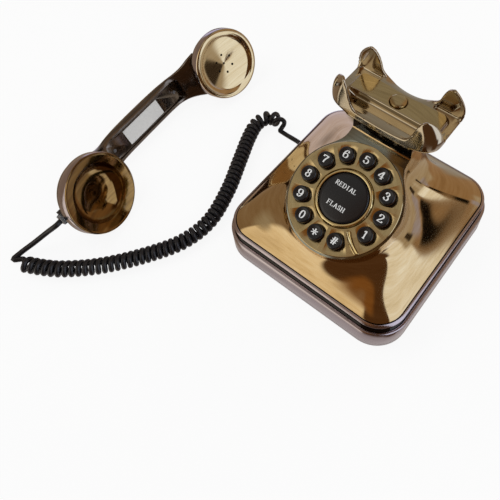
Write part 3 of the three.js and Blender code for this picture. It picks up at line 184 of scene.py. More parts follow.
# ------------------------------------------------------------------ the workshop
@dataclass
class Shop:
    """Mesh tools on the active object, and the way from the telephone's frame to the row's."""

    shift: Vector = field(default_factory=lambda: Shop.base_centre())

    @staticmethod
    def base_centre() -> Vector:
        """The base's centre on the table, in row metres."""
        low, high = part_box("lower_case")
        return Vector(((low.x + high.x) / 2, (low.y + high.y) / 2, 0.0))

    @property
    def to_row(self) -> Matrix:
        """Telephone millimetres to row metres."""
        return Matrix.Translation(self.shift) @ Matrix.Scale(MM, 4)

    def row_point(self, point: Sequence[float]) -> Vector:
        """A telephone point in row metres."""
        return self.to_row @ Vector(point)

    def pick(self, piece: Piece) -> Piece:
        """Makes a piece the only one selected and the active one."""
        bpy.ops.object.select_all(action="DESELECT")
        piece.select_set(True)
        bpy.context.view_layer.objects.active = piece
        return piece

    def started(self, name: str) -> Piece:
        """Names the primitive that was just added."""
        piece = bpy.context.active_object
        piece.name = name
        piece.data.name = name
        return self.pick(piece)

    def skin(self, name: str, rings: Sequence[Sequence[Vector]]) -> Piece:
        """A closed skin through rings of points, from low to high.

        Args:
            name: the piece's name.
            rings: rings with the same number of points, each counterclockwise from above.

        Returns:
            The closed piece, with its ends capped.
        """
        count = len(rings[0])
        points = [p for ring in rings for p in ring]
        faces = [tuple(reversed(range(count)))]
        for i in range(len(rings) - 1):
            low, high = i * count, (i + 1) * count
            for j in range(count):
                k = (j + 1) % count
                faces.append((low + j, low + k, high + k, high + j))
        top = (len(rings) - 1) * count
        faces.append(tuple(range(top, top + count)))
        mesh = bpy.data.meshes.new(name)
        mesh.from_pydata([tuple(p) for p in points], [], faces)
        return self.pick(show(name, mesh))

    def turned(self, name: str, profile: Sequence[Point2], steps: int = 64) -> Piece:
        """A revolved piece: a profile drawn by extruding one vertex, then spun round Z.

        Args:
            name: the piece's name.
            profile: (radius, height) corners that start and end on the axis, or close.
            steps: divisions of the turn.

        Returns:
            The closed piece, its faces outwards.
        """
        bpy.ops.object.select_all(action="DESELECT")
        bpy.ops.mesh.primitive_plane_add(size=1)
        piece = self.started(name)
        bpy.ops.object.mode_set(mode="EDIT")
        bpy.ops.mesh.select_all(action="SELECT")
        bpy.ops.mesh.merge(type="CENTER")
        r, z = profile[0]
        bpy.ops.transform.translate(value=(r, 0, z))
        for (r0, z0), (r1, z1) in zip(profile, profile[1:]):
            move = {"value": (r1 - r0, 0, z1 - z0)}
            bpy.ops.mesh.extrude_region_move(TRANSFORM_OT_translate=move)
        bpy.ops.mesh.select_all(action="SELECT")
        bpy.ops.mesh.spin(steps=steps, angle=math.tau, center=(0, 0, 0), axis=(0, 0, 1))
        bpy.ops.mesh.select_all(action="SELECT")
        bpy.ops.mesh.remove_doubles(threshold=1e-4)
        bpy.ops.mesh.normals_make_consistent(inside=False)
        bpy.ops.object.mode_set(mode="OBJECT")
        return piece

    def prism(self, name: str, outline: Sequence[Point3], travel: Point3) -> Piece:
        """A prism: a flat outline of points filled and extruded by travel."""
        mesh = bpy.data.meshes.new(name)
        mesh.from_pydata([tuple(p) for p in outline], [], [tuple(range(len(outline)))])
        piece = self.pick(show(name, mesh))
        bpy.ops.object.mode_set(mode="EDIT")
        bpy.ops.mesh.select_all(action="SELECT")
        bpy.ops.mesh.extrude_region_move(TRANSFORM_OT_translate={"value": travel})
        bpy.ops.mesh.select_all(action="SELECT")
        bpy.ops.mesh.normals_make_consistent(inside=False)
        bpy.ops.object.mode_set(mode="OBJECT")
        return piece

    def slab(
        self, name: str, size: Point3, at: Point3, corner: float = 0.0, axis: str = "Z"
    ) -> Piece:
        """A box with its four edges along one axis rounded.

        Args:
            name: the piece's name.
            size: its length along X, Y and Z.
            at: its centre.
            corner: radius of the rounded edges; 0 leaves them.
            axis: the axis that the rounded edges run along.

        Returns:
            The piece.
        """
        bpy.ops.object.select_all(action="DESELECT")
        bpy.ops.mesh.primitive_cube_add(size=1, location=at)
        piece = self.started(name)
        piece.scale = size
        bpy.ops.object.transform_apply(location=True, rotation=True, scale=True)
        if corner > 0:
            k = "XYZ".index(axis)
            mesh = bmesh.new()
            mesh.from_mesh(piece.data)
            along = [
                e for e in mesh.edges if abs((e.verts[0].co - e.verts[1].co)[k]) > size[k] * 0.5
            ]
            bmesh.ops.bevel(
                mesh, geom=along, offset=corner, segments=6, affect="EDGES", profile=0.5
            )
            mesh.to_mesh(piece.data)
            mesh.free()
        return piece

    def change(self, piece: Piece, kind: str, **settings: object) -> Piece:
        """Applies a modifier with its settings to a piece."""
        self.pick(piece)
        step = piece.modifiers.new(kind, kind)
        for key, value in settings.items():
            setattr(step, key, value)
        bpy.ops.object.modifier_apply(modifier=step.name)
        return piece

    def combine(self, piece: Piece, tool: Piece, how: str = "DIFFERENCE") -> Piece:
        """Cuts or joins one piece with another, which is used up."""
        self.change(piece, "BOOLEAN", operation=how, solver="EXACT", object=tool)
        bpy.data.objects.remove(tool)
        return piece

    def bore(self, piece: Piece, radius: float, reach: Point2, place: Matrix, steps: int) -> None:
        """Cuts a round hole into a piece.

        Args:
            piece: the piece to cut.
            radius: the hole's radius.
            reach: where it starts and ends along Z of its place.
            place: the hole's own frame.
            steps: sides of the round hole.
        """
        low, high = reach
        tool = self.turned("bore", [(0, low), (radius, low), (radius, high), (0, high)], steps)
        tool.data.transform(place)
        self.combine(piece, tool)

    def soften(self, piece: Piece, width: float, segments: int = 2, angle: float = 40) -> Piece:
        """Rounds the edges that turn by more than an angle in degrees."""
        return self.change(
            piece, "BEVEL", width=width, segments=segments, limit_method="ANGLE",
            angle_limit=math.radians(angle)
        )

    def melt(self, piece: Piece, grain: float, passes: int) -> Piece:
        """Meshes a piece anew with an even grain and rounds its edges, as thick plating does."""
        self.change(piece, "REMESH", mode="VOXEL", voxel_size=grain, adaptivity=0.0)
        self.change(piece, "SMOOTH", factor=0.5, iterations=passes)
        bpy.ops.object.shade_smooth()
        return piece

    def smooth(self, piece: Piece, angle: float = 35) -> Piece:
        """Shades smooth, but for edges sharper than an angle in degrees."""
        self.pick(piece)
        bpy.ops.object.shade_smooth_by_angle(angle=math.radians(angle))
        return piece

    def set_down(self, piece: Piece, place: Matrix | None = None) -> Piece:
        """Puts a piece's mesh in the row frame, its object at the origin."""
        piece.data.transform(self.to_row @ (place or Matrix.Identity(4)))
        piece.data.update()
        return piece


SHOP = Shop()


# ------------------------------------------------------------------ lettering
@dataclass(frozen=True)
class Stroke:
    """One pull of the pen, in units of the letter's height; a single point is a round blob."""

    points: tuple[Point2, ...]
    curved: bool = False
    thin: bool = False


def straight(*points: Point2) -> Stroke:
    """A straight stroke."""
    return Stroke(points)


def bowl(*points: Point2) -> Stroke:
    """A curved stroke through points."""
    return Stroke(points, curved=True)


def feet(y: float, *xs: float, half: float = 0.17) -> tuple[Stroke, ...]:
    """Thin feet across stems."""
    return tuple(Stroke(((x - half, y), (x + half, y)), thin=True) for x in xs)


def loop(x: float, y: float, wide: float, tall: float) -> Stroke:
    """A closed oval."""
    turns = [math.tau * i / 16 for i in range(17)]
    return bowl(*((x + wide * math.cos(t), y + tall * math.sin(t)) for t in turns))


SIX = (
    bowl(
        (0.74, 0.84), (0.6, 0.98), (0.4, 0.9), (0.24, 0.62), (0.23, 0.3), (0.34, 0.06), (0.52, 0.02)
    ),
    bowl(
        (0.52, 0.02), (0.7, 0.08), (0.8, 0.3), (0.7, 0.52), (0.52, 0.59), (0.32, 0.5), (0.24, 0.36)
    ),
    straight((0.71, 0.83))
)
GLYPHS: dict[str, tuple[Stroke, ...]] = {
    "0": (loop(0.5, 0.5, 0.27, 0.48),),
    "1": (straight((0.52, 0), (0.52, 0.98)), straight((0.5, 0.95), (0.26, 0.8)), *feet(0.03, 0.52)),
    "2": (
        bowl(
            (0.24, 0.74), (0.36, 0.94), (0.56, 0.97), (0.74, 0.84), (0.72, 0.62), (0.5, 0.36),
            (0.2, 0.07)
        ),
        straight((0.18, 0.05), (0.82, 0.05)), straight((0.8, 0.05), (0.84, 0.24)),
        straight((0.27, 0.74))
    ),
    "3": (
        bowl((0.24, 0.82), (0.38, 0.96), (0.58, 0.95), (0.7, 0.78), (0.62, 0.6), (0.42, 0.53)),
        bowl((0.42, 0.53), (0.66, 0.48), (0.78, 0.27), (0.66, 0.06), (0.42, 0.02), (0.22, 0.16)),
        straight((0.27, 0.8)), straight((0.25, 0.18))
    ),
    "4": (
        straight((0.62, 0), (0.62, 0.98)), straight((0.6, 0.96), (0.12, 0.31)),
        straight((0.1, 0.29), (0.88, 0.29)), *feet(0.03, 0.62)
    ),
    "5": (
        straight((0.28, 0.93), (0.76, 0.93)), straight((0.28, 0.93), (0.76, 0.9)),
        straight((0.29, 0.95), (0.25, 0.5)),
        bowl(
            (0.25, 0.52), (0.5, 0.62), (0.74, 0.5), (0.79, 0.28), (0.66, 0.06), (0.42, 0.02),
            (0.22, 0.15)
        ),
        straight((0.25, 0.18))
    ),
    "6": SIX,
    "7": (
        straight((0.18, 0.94), (0.84, 0.94)), straight((0.18, 0.9), (0.84, 0.9)),
        straight((0.2, 0.94), (0.17, 0.72)), bowl((0.8, 0.92), (0.62, 0.62), (0.5, 0.3), (0.48, 0))
    ),
    "8": (loop(0.5, 0.75, 0.2, 0.22), loop(0.5, 0.27, 0.26, 0.25)),
    "9": tuple(Stroke(tuple((1 - x, 1 - y) for x, y in s.points), s.curved, s.thin) for s in SIX),
    "*": (
        straight((0.5, 0.08), (0.5, 0.92)), straight((0.1, 0.3), (0.9, 0.7)),
        straight((0.1, 0.7), (0.9, 0.3))
    ),
    "#": (
        straight((0.3, 0.02), (0.44, 0.98)), straight((0.58, 0.02), (0.72, 0.98)),
        straight((0.12, 0.66), (0.92, 0.66)), straight((0.08, 0.34), (0.88, 0.34))
    ),
    "A": (
        straight((0.46, 0.98), (0.16, 0.03)), straight((0.46, 0.98), (0.8, 0.03)),
        straight((0.26, 0.33), (0.7, 0.33)), *feet(0.03, 0.16, 0.8, half=0.13)
    ),
    "D": (
        straight((0.24, 0.03), (0.24, 0.97)),
        bowl(
            (0.24, 0.97), (0.56, 0.94), (0.78, 0.74), (0.8, 0.5), (0.78, 0.26), (0.56, 0.06),
            (0.24, 0.03)
        ),
        *feet(0.03, 0.24, half=0.16), *feet(0.97, 0.24, half=0.16)
    ),
    "E": (
        straight((0.24, 0.03), (0.24, 0.97)), straight((0.1, 0.97), (0.78, 0.97)),
        straight((0.24, 0.52), (0.6, 0.52)), straight((0.1, 0.03), (0.8, 0.03)),
        *(
            Stroke(((x, a), (x, b)), thin=True)
            for x, a, b in ((0.76, 0.97, 0.75), (0.6, 0.4, 0.64), (0.78, 0.03, 0.26))
        )
    ),
    "F": (
        straight((0.24, 0.03), (0.24, 0.97)), straight((0.1, 0.97), (0.78, 0.97)),
        straight((0.24, 0.5), (0.6, 0.5)),
        *(
            Stroke(((x, a), (x, b)), thin=True)
            for x, a, b in ((0.76, 0.97, 0.75), (0.6, 0.38, 0.62))
        ),
        *feet(0.03, 0.24)
    ),
    "H": (
        straight((0.22, 0.03), (0.22, 0.97)), straight((0.74, 0.03), (0.74, 0.97)),
        straight((0.22, 0.5), (0.74, 0.5)), *feet(0.03, 0.22, 0.74, half=0.15),
        *feet(0.97, 0.22, 0.74, half=0.15)
    ),
    "I": (straight((0.46, 0.03), (0.46, 0.97)), *feet(0.03, 0.46), *feet(0.97, 0.46)),
    "L": (
        straight((0.26, 0.03), (0.26, 0.97)), straight((0.12, 0.03), (0.8, 0.03)),
        Stroke(((0.78, 0.03), (0.78, 0.3)), thin=True), *feet(0.97, 0.26)
    ),
    "R": (
        straight((0.22, 0.03), (0.22, 0.97)),
        bowl((0.22, 0.97), (0.52, 0.95), (0.68, 0.75), (0.52, 0.54), (0.22, 0.51)),
        straight((0.44, 0.51), (0.76, 0.03)), *feet(0.03, 0.22, 0.8, half=0.13),
        *feet(0.97, 0.2, half=0.13)
    ),
    "S": (
        bowl(
            (0.7, 0.78), (0.52, 0.96), (0.3, 0.86), (0.32, 0.64), (0.6, 0.44), (0.72, 0.22),
            (0.48, 0.03), (0.22, 0.22)
        ),
        Stroke(((0.71, 0.98), (0.71, 0.7)), thin=True),
        Stroke(((0.22, 0.02), (0.22, 0.3)), thin=True)
    )
}


@dataclass(frozen=True)
class Lettering:
    """A bold serif face drawn with a broad flat pen: thick stems, thin bars and feet."""

    stem: float = 0.19
    hair: float = 0.075
    advance: float = 0.86
    rise: float = 0.04  # of the print above what it is on, in mm

    def strip(self, stroke: Stroke) -> list[tuple[Point2, Point2]]:
        """The two edges of a stroke, point by point."""
        if len(stroke.points) == 1:
            (x, y), r = stroke.points[0], self.stem * 0.62
            turns = [math.pi * i / 8 for i in range(9)]
            return [
                (
                    (x + r * math.cos(t), y + r * math.sin(t)),
                    (x + r * math.cos(t), y - r * math.sin(t))
                )
                for t in turns
            ]
        points = smooth_line(stroke.points, 28) if stroke.curved else list(stroke.points)
        wide = self.hair if stroke.thin else self.stem
        edges = []
        for i, (x, y) in enumerate(points):
            before, after = points[max(i - 1, 0)], points[min(i + 1, len(points) - 1)]
            way = Vector((after[0] - before[0], after[1] - before[1])).normalized()
            half = math.hypot(way.y * wide, way.x * self.hair) / 2
            edges.append(
                ((x - way.y * half, y + way.x * half), (x + way.y * half, y - way.x * half))
            )
        return edges

    def write(self, name: str, words: str, size: float) -> Piece:
        """Words as thin flat print centred on the origin.

        Args:
            name: the piece's name.
            words: signs to be found in the glyphs.
            size: height of a capital in mm.

        Returns:
            The print, its strokes joined in one mesh.
        """
        mesh = bmesh.new()
        left = -self.advance * (len(words) - 1) / 2 - 0.5
        for n, sign in enumerate(words):
            for stroke in GLYPHS[sign]:
                rails = [
                    [
                        mesh.verts.new(
                            ((left + n * self.advance + x) * size, (y - 0.5) * size, self.rise)
                        )
                        for x, y in pair
                    ]
                    for pair in self.strip(stroke)
                ]
                for (a, b), (c, d) in zip(rails, rails[1:]):
                    mesh.faces.new((a, b, d, c))
        bmesh.ops.remove_doubles(mesh, verts=mesh.verts, dist=0.002)
        bmesh.ops.recalc_face_normals(mesh, faces=mesh.faces)
        made = bpy.data.meshes.new(name)
        mesh.to_mesh(made)
        mesh.free()
        return show(name, made)


# ------------------------------------------------------------------ finishes
class Slot(Enum):
    """The material slots."""

    BRONZE = "bronze"
    MAUVE = "mauve_bronze"
    SATIN = "satin_brass"
    SATIN_PLASTIC = "satin_brass_plastic"
    BRIGHT = "bright_brass"
    GUNMETAL = "gunmetal"
    KEY = "key_black"
    BLACK = "black_plastic"
    RUBBER = "rubber"
    SILICONE = "silicone"
    CORD = "cord"
    CLEAR = "clear_plug"
    BOARD = "board"
    STEEL = "steel"
    ALUMINIUM = "aluminium"
    WHITE = "white_label"


def wire(
    tree: Tree, node: Node, values: dict[str | int, object] | None = None,
    links: dict[str | int, Socket] | None = None
) -> None:
    """Sets socket values of a node, and links sockets into it, by input name or index."""
    for key, value in (values or {}).items():
        node.inputs[key].default_value = value
    for key, socket in (links or {}).items():
        tree.links.new(socket, node.inputs[key])


def add(
    tree: Tree, kind: str, values: dict[str | int, object] | None = None,
    links: dict[str | int, Socket] | None = None, **settings: object
) -> Node:
    """Adds a node to a tree.

    Args:
        tree: the material's or the world's node tree.
        kind: the node's type, such as "ShaderNodeTexNoise".
        values: socket values by name or index.
        links: sockets to link in, by input name or index.
        settings: properties of the node itself.

    Returns:
        The new node.
    """
    made = tree.nodes.new(kind)
    for key, value in settings.items():
        setattr(made, key, value)
    wire(tree, made, values, links)
    return made


def new_material(name: str) -> tuple[Finish, Tree, Node]:
    """A material with an empty tree but for its output and its shader."""
    material = bpy.data.materials.new(name)
    material.use_nodes = True
    tree = material.node_tree
    tree.nodes.clear()
    shader = add(tree, "ShaderNodeBsdfPrincipled")
    add(tree, "ShaderNodeOutputMaterial", links={"Surface": shader.outputs["BSDF"]})
    return material, tree, shader


def ramp(tree: Tree, factor: Socket, stops: Sequence[tuple[float, str]]) -> Node:
    """A colour ramp through hex colours at given places."""
    made = add(tree, "ShaderNodeValToRGB", links={"Fac": factor})
    elements = made.color_ramp.elements
    while len(elements) < len(stops):
        elements.new(0.5)
    for element, (place, code) in zip(elements, stops):
        element.position = place
        element.color = srgb(code)
    return made


class Brushing(Enum):
    """Which way the brush ran before the plating was lacquered."""

    ROUND_BASE = "round the base"
    ROUND_DIAL = "round the dial"
    ALONG_X = "along X of its own frame"


@dataclass(frozen=True)
class AntiquePlating:
    """Antique bronze plating on moulded ABS: brass brushed through a dark toning coat, then
    lacquered.

    It gives the eye a mirror that is gold where a light falls and streaky brown elsewhere.
    """

    name: str
    dark: str
    mid: str
    light: str
    roughness: float
    brushing: Brushing = Brushing.ROUND_BASE
    streak_mm: float = 1.1  # distance between brush marks; finer ones wouldn't show
    coarse: float = 0.22  # the wide streaks' frequency, as a share of the fine ones'
    bump: float = 0.02
    centre: Point3 = (0.0, 0.0, 0.0)  # row metres
    turn: Point3 = (0.0, 0.0, 0.0)  # radians

    def material(self) -> Finish:
        """The plating as nodes."""
        material, tree, shader = new_material(self.name)
        place = add(tree, "ShaderNodeTexCoord")
        local = add(
            tree, "ShaderNodeMapping", {"Location": self.centre, "Rotation": self.turn},
            {"Vector": place.outputs["Object"]}, vector_type="TEXTURE"
        )
        parts = add(tree, "ShaderNodeSeparateXYZ", links={"Vector": local.outputs["Vector"]})
        x, y, z = (parts.outputs[i] for i in range(3))
        if self.brushing is Brushing.ALONG_X:
            ways = (y, x, z)
            stretch = 12.0
        else:
            flat = add(tree, "ShaderNodeCombineXYZ", links={"X": x, "Y": y}).outputs["Vector"]
            way = add(tree, "ShaderNodeVectorMath", links={0: flat}, operation="NORMALIZE")
            turn = add(tree, "ShaderNodeSeparateXYZ", links={"Vector": way.outputs["Vector"]})
            across = z
            if self.brushing is Brushing.ROUND_DIAL:
                away = add(tree, "ShaderNodeVectorMath", links={0: flat}, operation="LENGTH")
                across = away.outputs["Value"]
            ways = (across, turn.outputs[0], turn.outputs[1])
            stretch = 1.6
        scale = 1 / (self.streak_mm * MM)
        coarse = self.streaks(tree, ways, (scale * self.coarse, stretch, stretch))
        fine = self.streaks(tree, ways, (scale, stretch * 3, stretch * 3))
        both = add(
            tree, "ShaderNodeMix", {"Factor": 0.45},
            {"A": coarse.outputs["Fac"], "B": fine.outputs["Fac"]}, data_type="FLOAT"
        )
        tone = ramp(
            tree, both.outputs["Result"], ((0.3, self.dark), (0.48, self.mid), (0.68, self.light))
        )
        gloss = add(
            tree, "ShaderNodeMapRange",
            {
                "From Min": 0.3, "From Max": 0.7, "To Min": self.roughness * 1.5,
                "To Max": self.roughness * 0.6
            },
            {"Value": both.outputs["Result"]}
        )
        marks = add(
            tree, "ShaderNodeBump", {"Strength": self.bump, "Distance": 0.0002},
            {"Height": fine.outputs["Fac"]}
        )
        wire(
            tree, shader, {"Metallic": 1.0, "Coat Weight": 0.6, "Coat Roughness": 0.04},
            {
                "Base Color": tone.outputs["Color"], "Roughness": gloss.outputs["Result"],
                "Normal": marks.outputs["Normal"]
            }
        )
        return material

    def streaks(self, tree: Tree, ways: Sequence[Socket], scales: Sequence[float]) -> Node:
        """Noise drawn out along the brush's way: three coordinates, each at its own scale."""
        scaled = [
            add(tree, "ShaderNodeMath", {1: scale}, {0: way}, operation="MULTIPLY").outputs[0]
            for way, scale in zip(ways, scales)
        ]
        at = add(tree, "ShaderNodeCombineXYZ", links=dict(zip("XYZ", scaled)))
        return add(
            tree, "ShaderNodeTexNoise", {"Scale": 1.0, "Detail": 4.0, "Roughness": 0.6},
            {"Vector": at.outputs["Vector"]}
        )


@dataclass(frozen=True)
class MouldedPlastic:
    """Moulded or extruded plastic with a faint grain: ABS keys, PVC jackets, silicone, rubber."""

    name: str
    colour: str
    shade: str
    roughness: float
    grain_mm: float = 0.6
    bump: float = 0.04
    clear: float = 0.0

    def material(self) -> Finish:
        """The plastic as nodes."""
        material, tree, shader = new_material(self.name)
        place = add(tree, "ShaderNodeTexCoord")
        grain = add(
            tree, "ShaderNodeTexNoise", {"Scale": 1 / (self.grain_mm * MM), "Detail": 3.0},
            {"Vector": place.outputs["Object"]}
        )
        tone = ramp(tree, grain.outputs["Fac"], ((0.3, self.shade), (0.7, self.colour)))
        marks = add(
            tree, "ShaderNodeBump", {"Strength": self.bump, "Distance": 0.0001},
            {"Height": grain.outputs["Fac"]}
        )
        wire(
            tree, shader, {"Roughness": self.roughness, "Transmission Weight": self.clear},
            {"Base Color": tone.outputs["Color"], "Normal": marks.outputs["Normal"]}
        )
        return material


@dataclass(frozen=True)
class PlainMetal:
    """Rolled or drawn metal sheet with faint rolling marks: screws, weights and cans."""

    name: str
    colour: str
    shade: str
    roughness: float = 0.35

    def material(self) -> Finish:
        """The metal as nodes."""
        material, tree, shader = new_material(self.name)
        place = add(tree, "ShaderNodeTexCoord")
        stretch = add(
            tree, "ShaderNodeMapping", {"Scale": (40, 900, 900)},
            {"Vector": place.outputs["Object"]}
        )
        marks = add(
            tree, "ShaderNodeTexNoise", {"Scale": 1.0, "Detail": 3.0},
            {"Vector": stretch.outputs["Vector"]}
        )
        tone = ramp(tree, marks.outputs["Fac"], ((0.3, self.shade), (0.7, self.colour)))
        values = {"Metallic": 1.0, "Roughness": self.roughness}
        wire(tree, shader, values, {"Base Color": tone.outputs["Color"]})
        return material


class Finishes:
    """Every material of the telephone, made once."""

    def __init__(self) -> None:
        """Makes the materials."""
        base = {"centre": tuple(SHOP.shift)}
        flat = {"brushing": Brushing.ALONG_X, **base}
        dial, hand = (
            {
                "brushing": brushing, "centre": tuple(SHOP.row_point(place.translation)),
                "turn": tuple((SHOP.to_row @ place).to_euler())
            }
            for brushing, place in (
                (Brushing.ROUND_DIAL, Dial().place), (Brushing.ALONG_X, Handset().place)
            )
        )
        plated = {
            "body": AntiquePlating("plated_body", "B0925E", "C4A878", "D2BC92", 0.08, **base),
            "rim": AntiquePlating("plated_rim", "A2969A", "AFA3A6", "BBB0B2", 0.16, **base),
            "cradle": AntiquePlating("plated_cradle", "A89A80", "B6A88E", "C4B8A0", 0.1, **flat),
            "face": AntiquePlating("satin_face", "A69264", "BCA676", "CCB888", 0.13, **dial),
            "bright": AntiquePlating("bright_trim", "CDB67C", "D8C48C", "E4D29E", 0.14, **dial),
            "caps": AntiquePlating("plated_caps", "BBA170", "CBB58A", "D8C69E", 0.08, **hand),
            "mouth": AntiquePlating("plated_mouth", "5E4218", "7E5E2A", "987840", 0.09, **hand),
            "grip": AntiquePlating("plated_grip", "4E473F", "6A6056", "887D71", 0.18, **hand),
            # painted shade: near-black plating laid where shade falls, in the housing's seam and
            # groove, on the neck's front under the cradle and on the dial plate's outer side
            "toner": AntiquePlating("painted_shade_black", "15100C", "1E1813", "2A221B", 0.3, **base),
            "facet": AntiquePlating("plated_facet", "74766C", "84867A", "929488", 0.12, **flat)
        }
        moulded = {
            "key": MouldedPlastic("gloss_abs_key", "17171A", "101012", 0.22),
            "print": MouldedPlastic("white_print", "F4F4F2", "EDEDEA", 0.5),
            "black": MouldedPlastic("matt_abs", "1C1C1E", "141416", 0.5),
            "rubber": MouldedPlastic("rubber", "191919", "111111", 0.8, bump=0.2),
            "silicone": MouldedPlastic("silicone", "2A2B2C", "222223", 0.7),
            "cord": MouldedPlastic("pvc_jacket", "1B1B1F", "121215", 0.38, bump=0.1),
            "clear": MouldedPlastic("clear_pc", "E8EAEC", "DDE0E2", 0.08, clear=0.85),
            "board": MouldedPlastic("solder_mask", "2C5A35", "244C2D", 0.45),
            "steel": PlainMetal("zinc_steel", "9A9B9D", "7C7D80"),
            "aluminium": PlainMetal("drawn_aluminium", "A6A8AA", "8E9092"),
            "label": MouldedPlastic("label_card", "F5F5F4", "EBEBEA", 0.45)
        }
        for name, kind in {**plated, **moulded}.items():
            setattr(self, name, kind.material())


def dress(piece: Piece, finish: Finish, body: str, slot: Slot, *nodes: str) -> Piece:
    """Gives a finished piece its material and its body, and hides the nodes it stands for."""
    piece.data.materials.clear()
    piece.data.materials.append(finish)
    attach(piece, body)
    if nodes:
        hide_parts(*nodes)
    LOG.info("%s rides on %s", piece.name, body)
    return piece


def stain(piece: Piece, finish: Finish, faces: Sequence[int]) -> None:
    """Gives some faces of a dressed piece one more finish."""
    piece.data.materials.append(finish)
    slot = len(piece.data.materials) - 1
    for i in faces:
        piece.data.polygons[i].material_index = slot


# ------------------------------------------------------------------ the base
@dataclass
class RoundedSquare:
    """The base's plan: a square with round corners about the origin."""

    half: float = 80.0
    corner: float = 25.4
    columns: int = 288

    def reach(self, angle: float, inset: float) -> float:
        """Distance from the centre to the outline, drawn in by inset."""
        half, corner = self.half - inset, self.corner - inset
        x, y = abs(math.cos(angle)), abs(math.sin(angle))
        straight = half / max(x, y)
        flat = half - corner
        if min(x, y) * straight <= flat:
            return straight
        along = flat * (x + y)
        return along + math.sqrt(along * along - 2 * flat * flat + corner * corner)

    def angles(self) -> list[float]:
        """The columns' directions."""
        return [math.tau * i / self.columns for i in range(self.columns)]

    def ring(self, inset: float, z: float) -> list[Vector]:
        """One ring of the outline at a height."""
        made = []
        for angle in self.angles():
            reach = self.reach(angle, inset)
            made.append(Vector((reach * math.cos(angle), reach * math.sin(angle), z)))
        return made


@dataclass
class LowerCase:
    """The tray under the telephone: its wall, floor, foot recesses and the windows in its sides."""

    plan: RoundedSquare = field(default_factory=RoundedSquare)
    bottom: float = 1.5
    top: float = 23.4
    wall: float = 2.6
    floor: float = 2.4
    foot_at: float = 60.0
    foot_radius: float = 8.3
    foot_sink: float = 1.2
    screw_x: float = 62.0
    screw_y: float = 44.0
    screw_bore: float = 3.3
    bore_top: float = 6.0
    window_corner: float = 0.8
    slot_corner: float = 1.2
    window: Point3 = (14.6, 16.0, 13.6)
    jack_z: float = 12.0
    body_jack_y: float = 32.5
    line_jack_x: float = 26.0
    switch_x: float = -26.0
    switch_slot: Point3 = (11.0, 8.0, 3.6)

    def build(self, finishes: Finishes) -> None:
        """Builds the tray and dresses it."""
        ring = self.plan.ring
        w, b, t = self.wall, self.bottom, self.top
        rings = [
            ring(1.2, b), ring(0.35, b + 0.35), ring(0, b + 1.2), ring(0, t - 0.9),
            ring(0.25, t - 0.3), ring(0.9, t), ring(w - 0.4, t), ring(w, t - 0.4),
            ring(w, b + self.floor)
        ]
        tray = SHOP.skin("base_tray", rings)
        for x in (-1, 1):
            for y in (-1, 1):
                foot = Matrix.Translation((x * self.foot_at, y * self.foot_at, 0))
                SHOP.bore(tray, self.foot_radius, (0, b + self.foot_sink), foot, 32)
                screw = Matrix.Translation((x * self.screw_x, y * self.screw_y, 0))
                SHOP.bore(tray, self.screw_bore, (0, self.bore_top), screw, 24)
        wx, wy, wz = self.window
        half = self.plan.half
        z, corner = self.jack_z, self.window_corner
        for size, at, round_off, axis in (
            ((wy, wx, wz), (-half, self.body_jack_y, z), corner, "X"),
            ((wx, wy, wz), (self.line_jack_x, half, z), corner, "Y"),
            (self.switch_slot, (self.switch_x, half, z), self.slot_corner, "Y")
        ):
            SHOP.combine(tray, SHOP.slab("window", size, at, round_off, axis))
        SHOP.smooth(tray, 30)
        SHOP.set_down(tray)
        dress(tray, finishes.rim, "base", Slot.MAUVE, "lower_case")


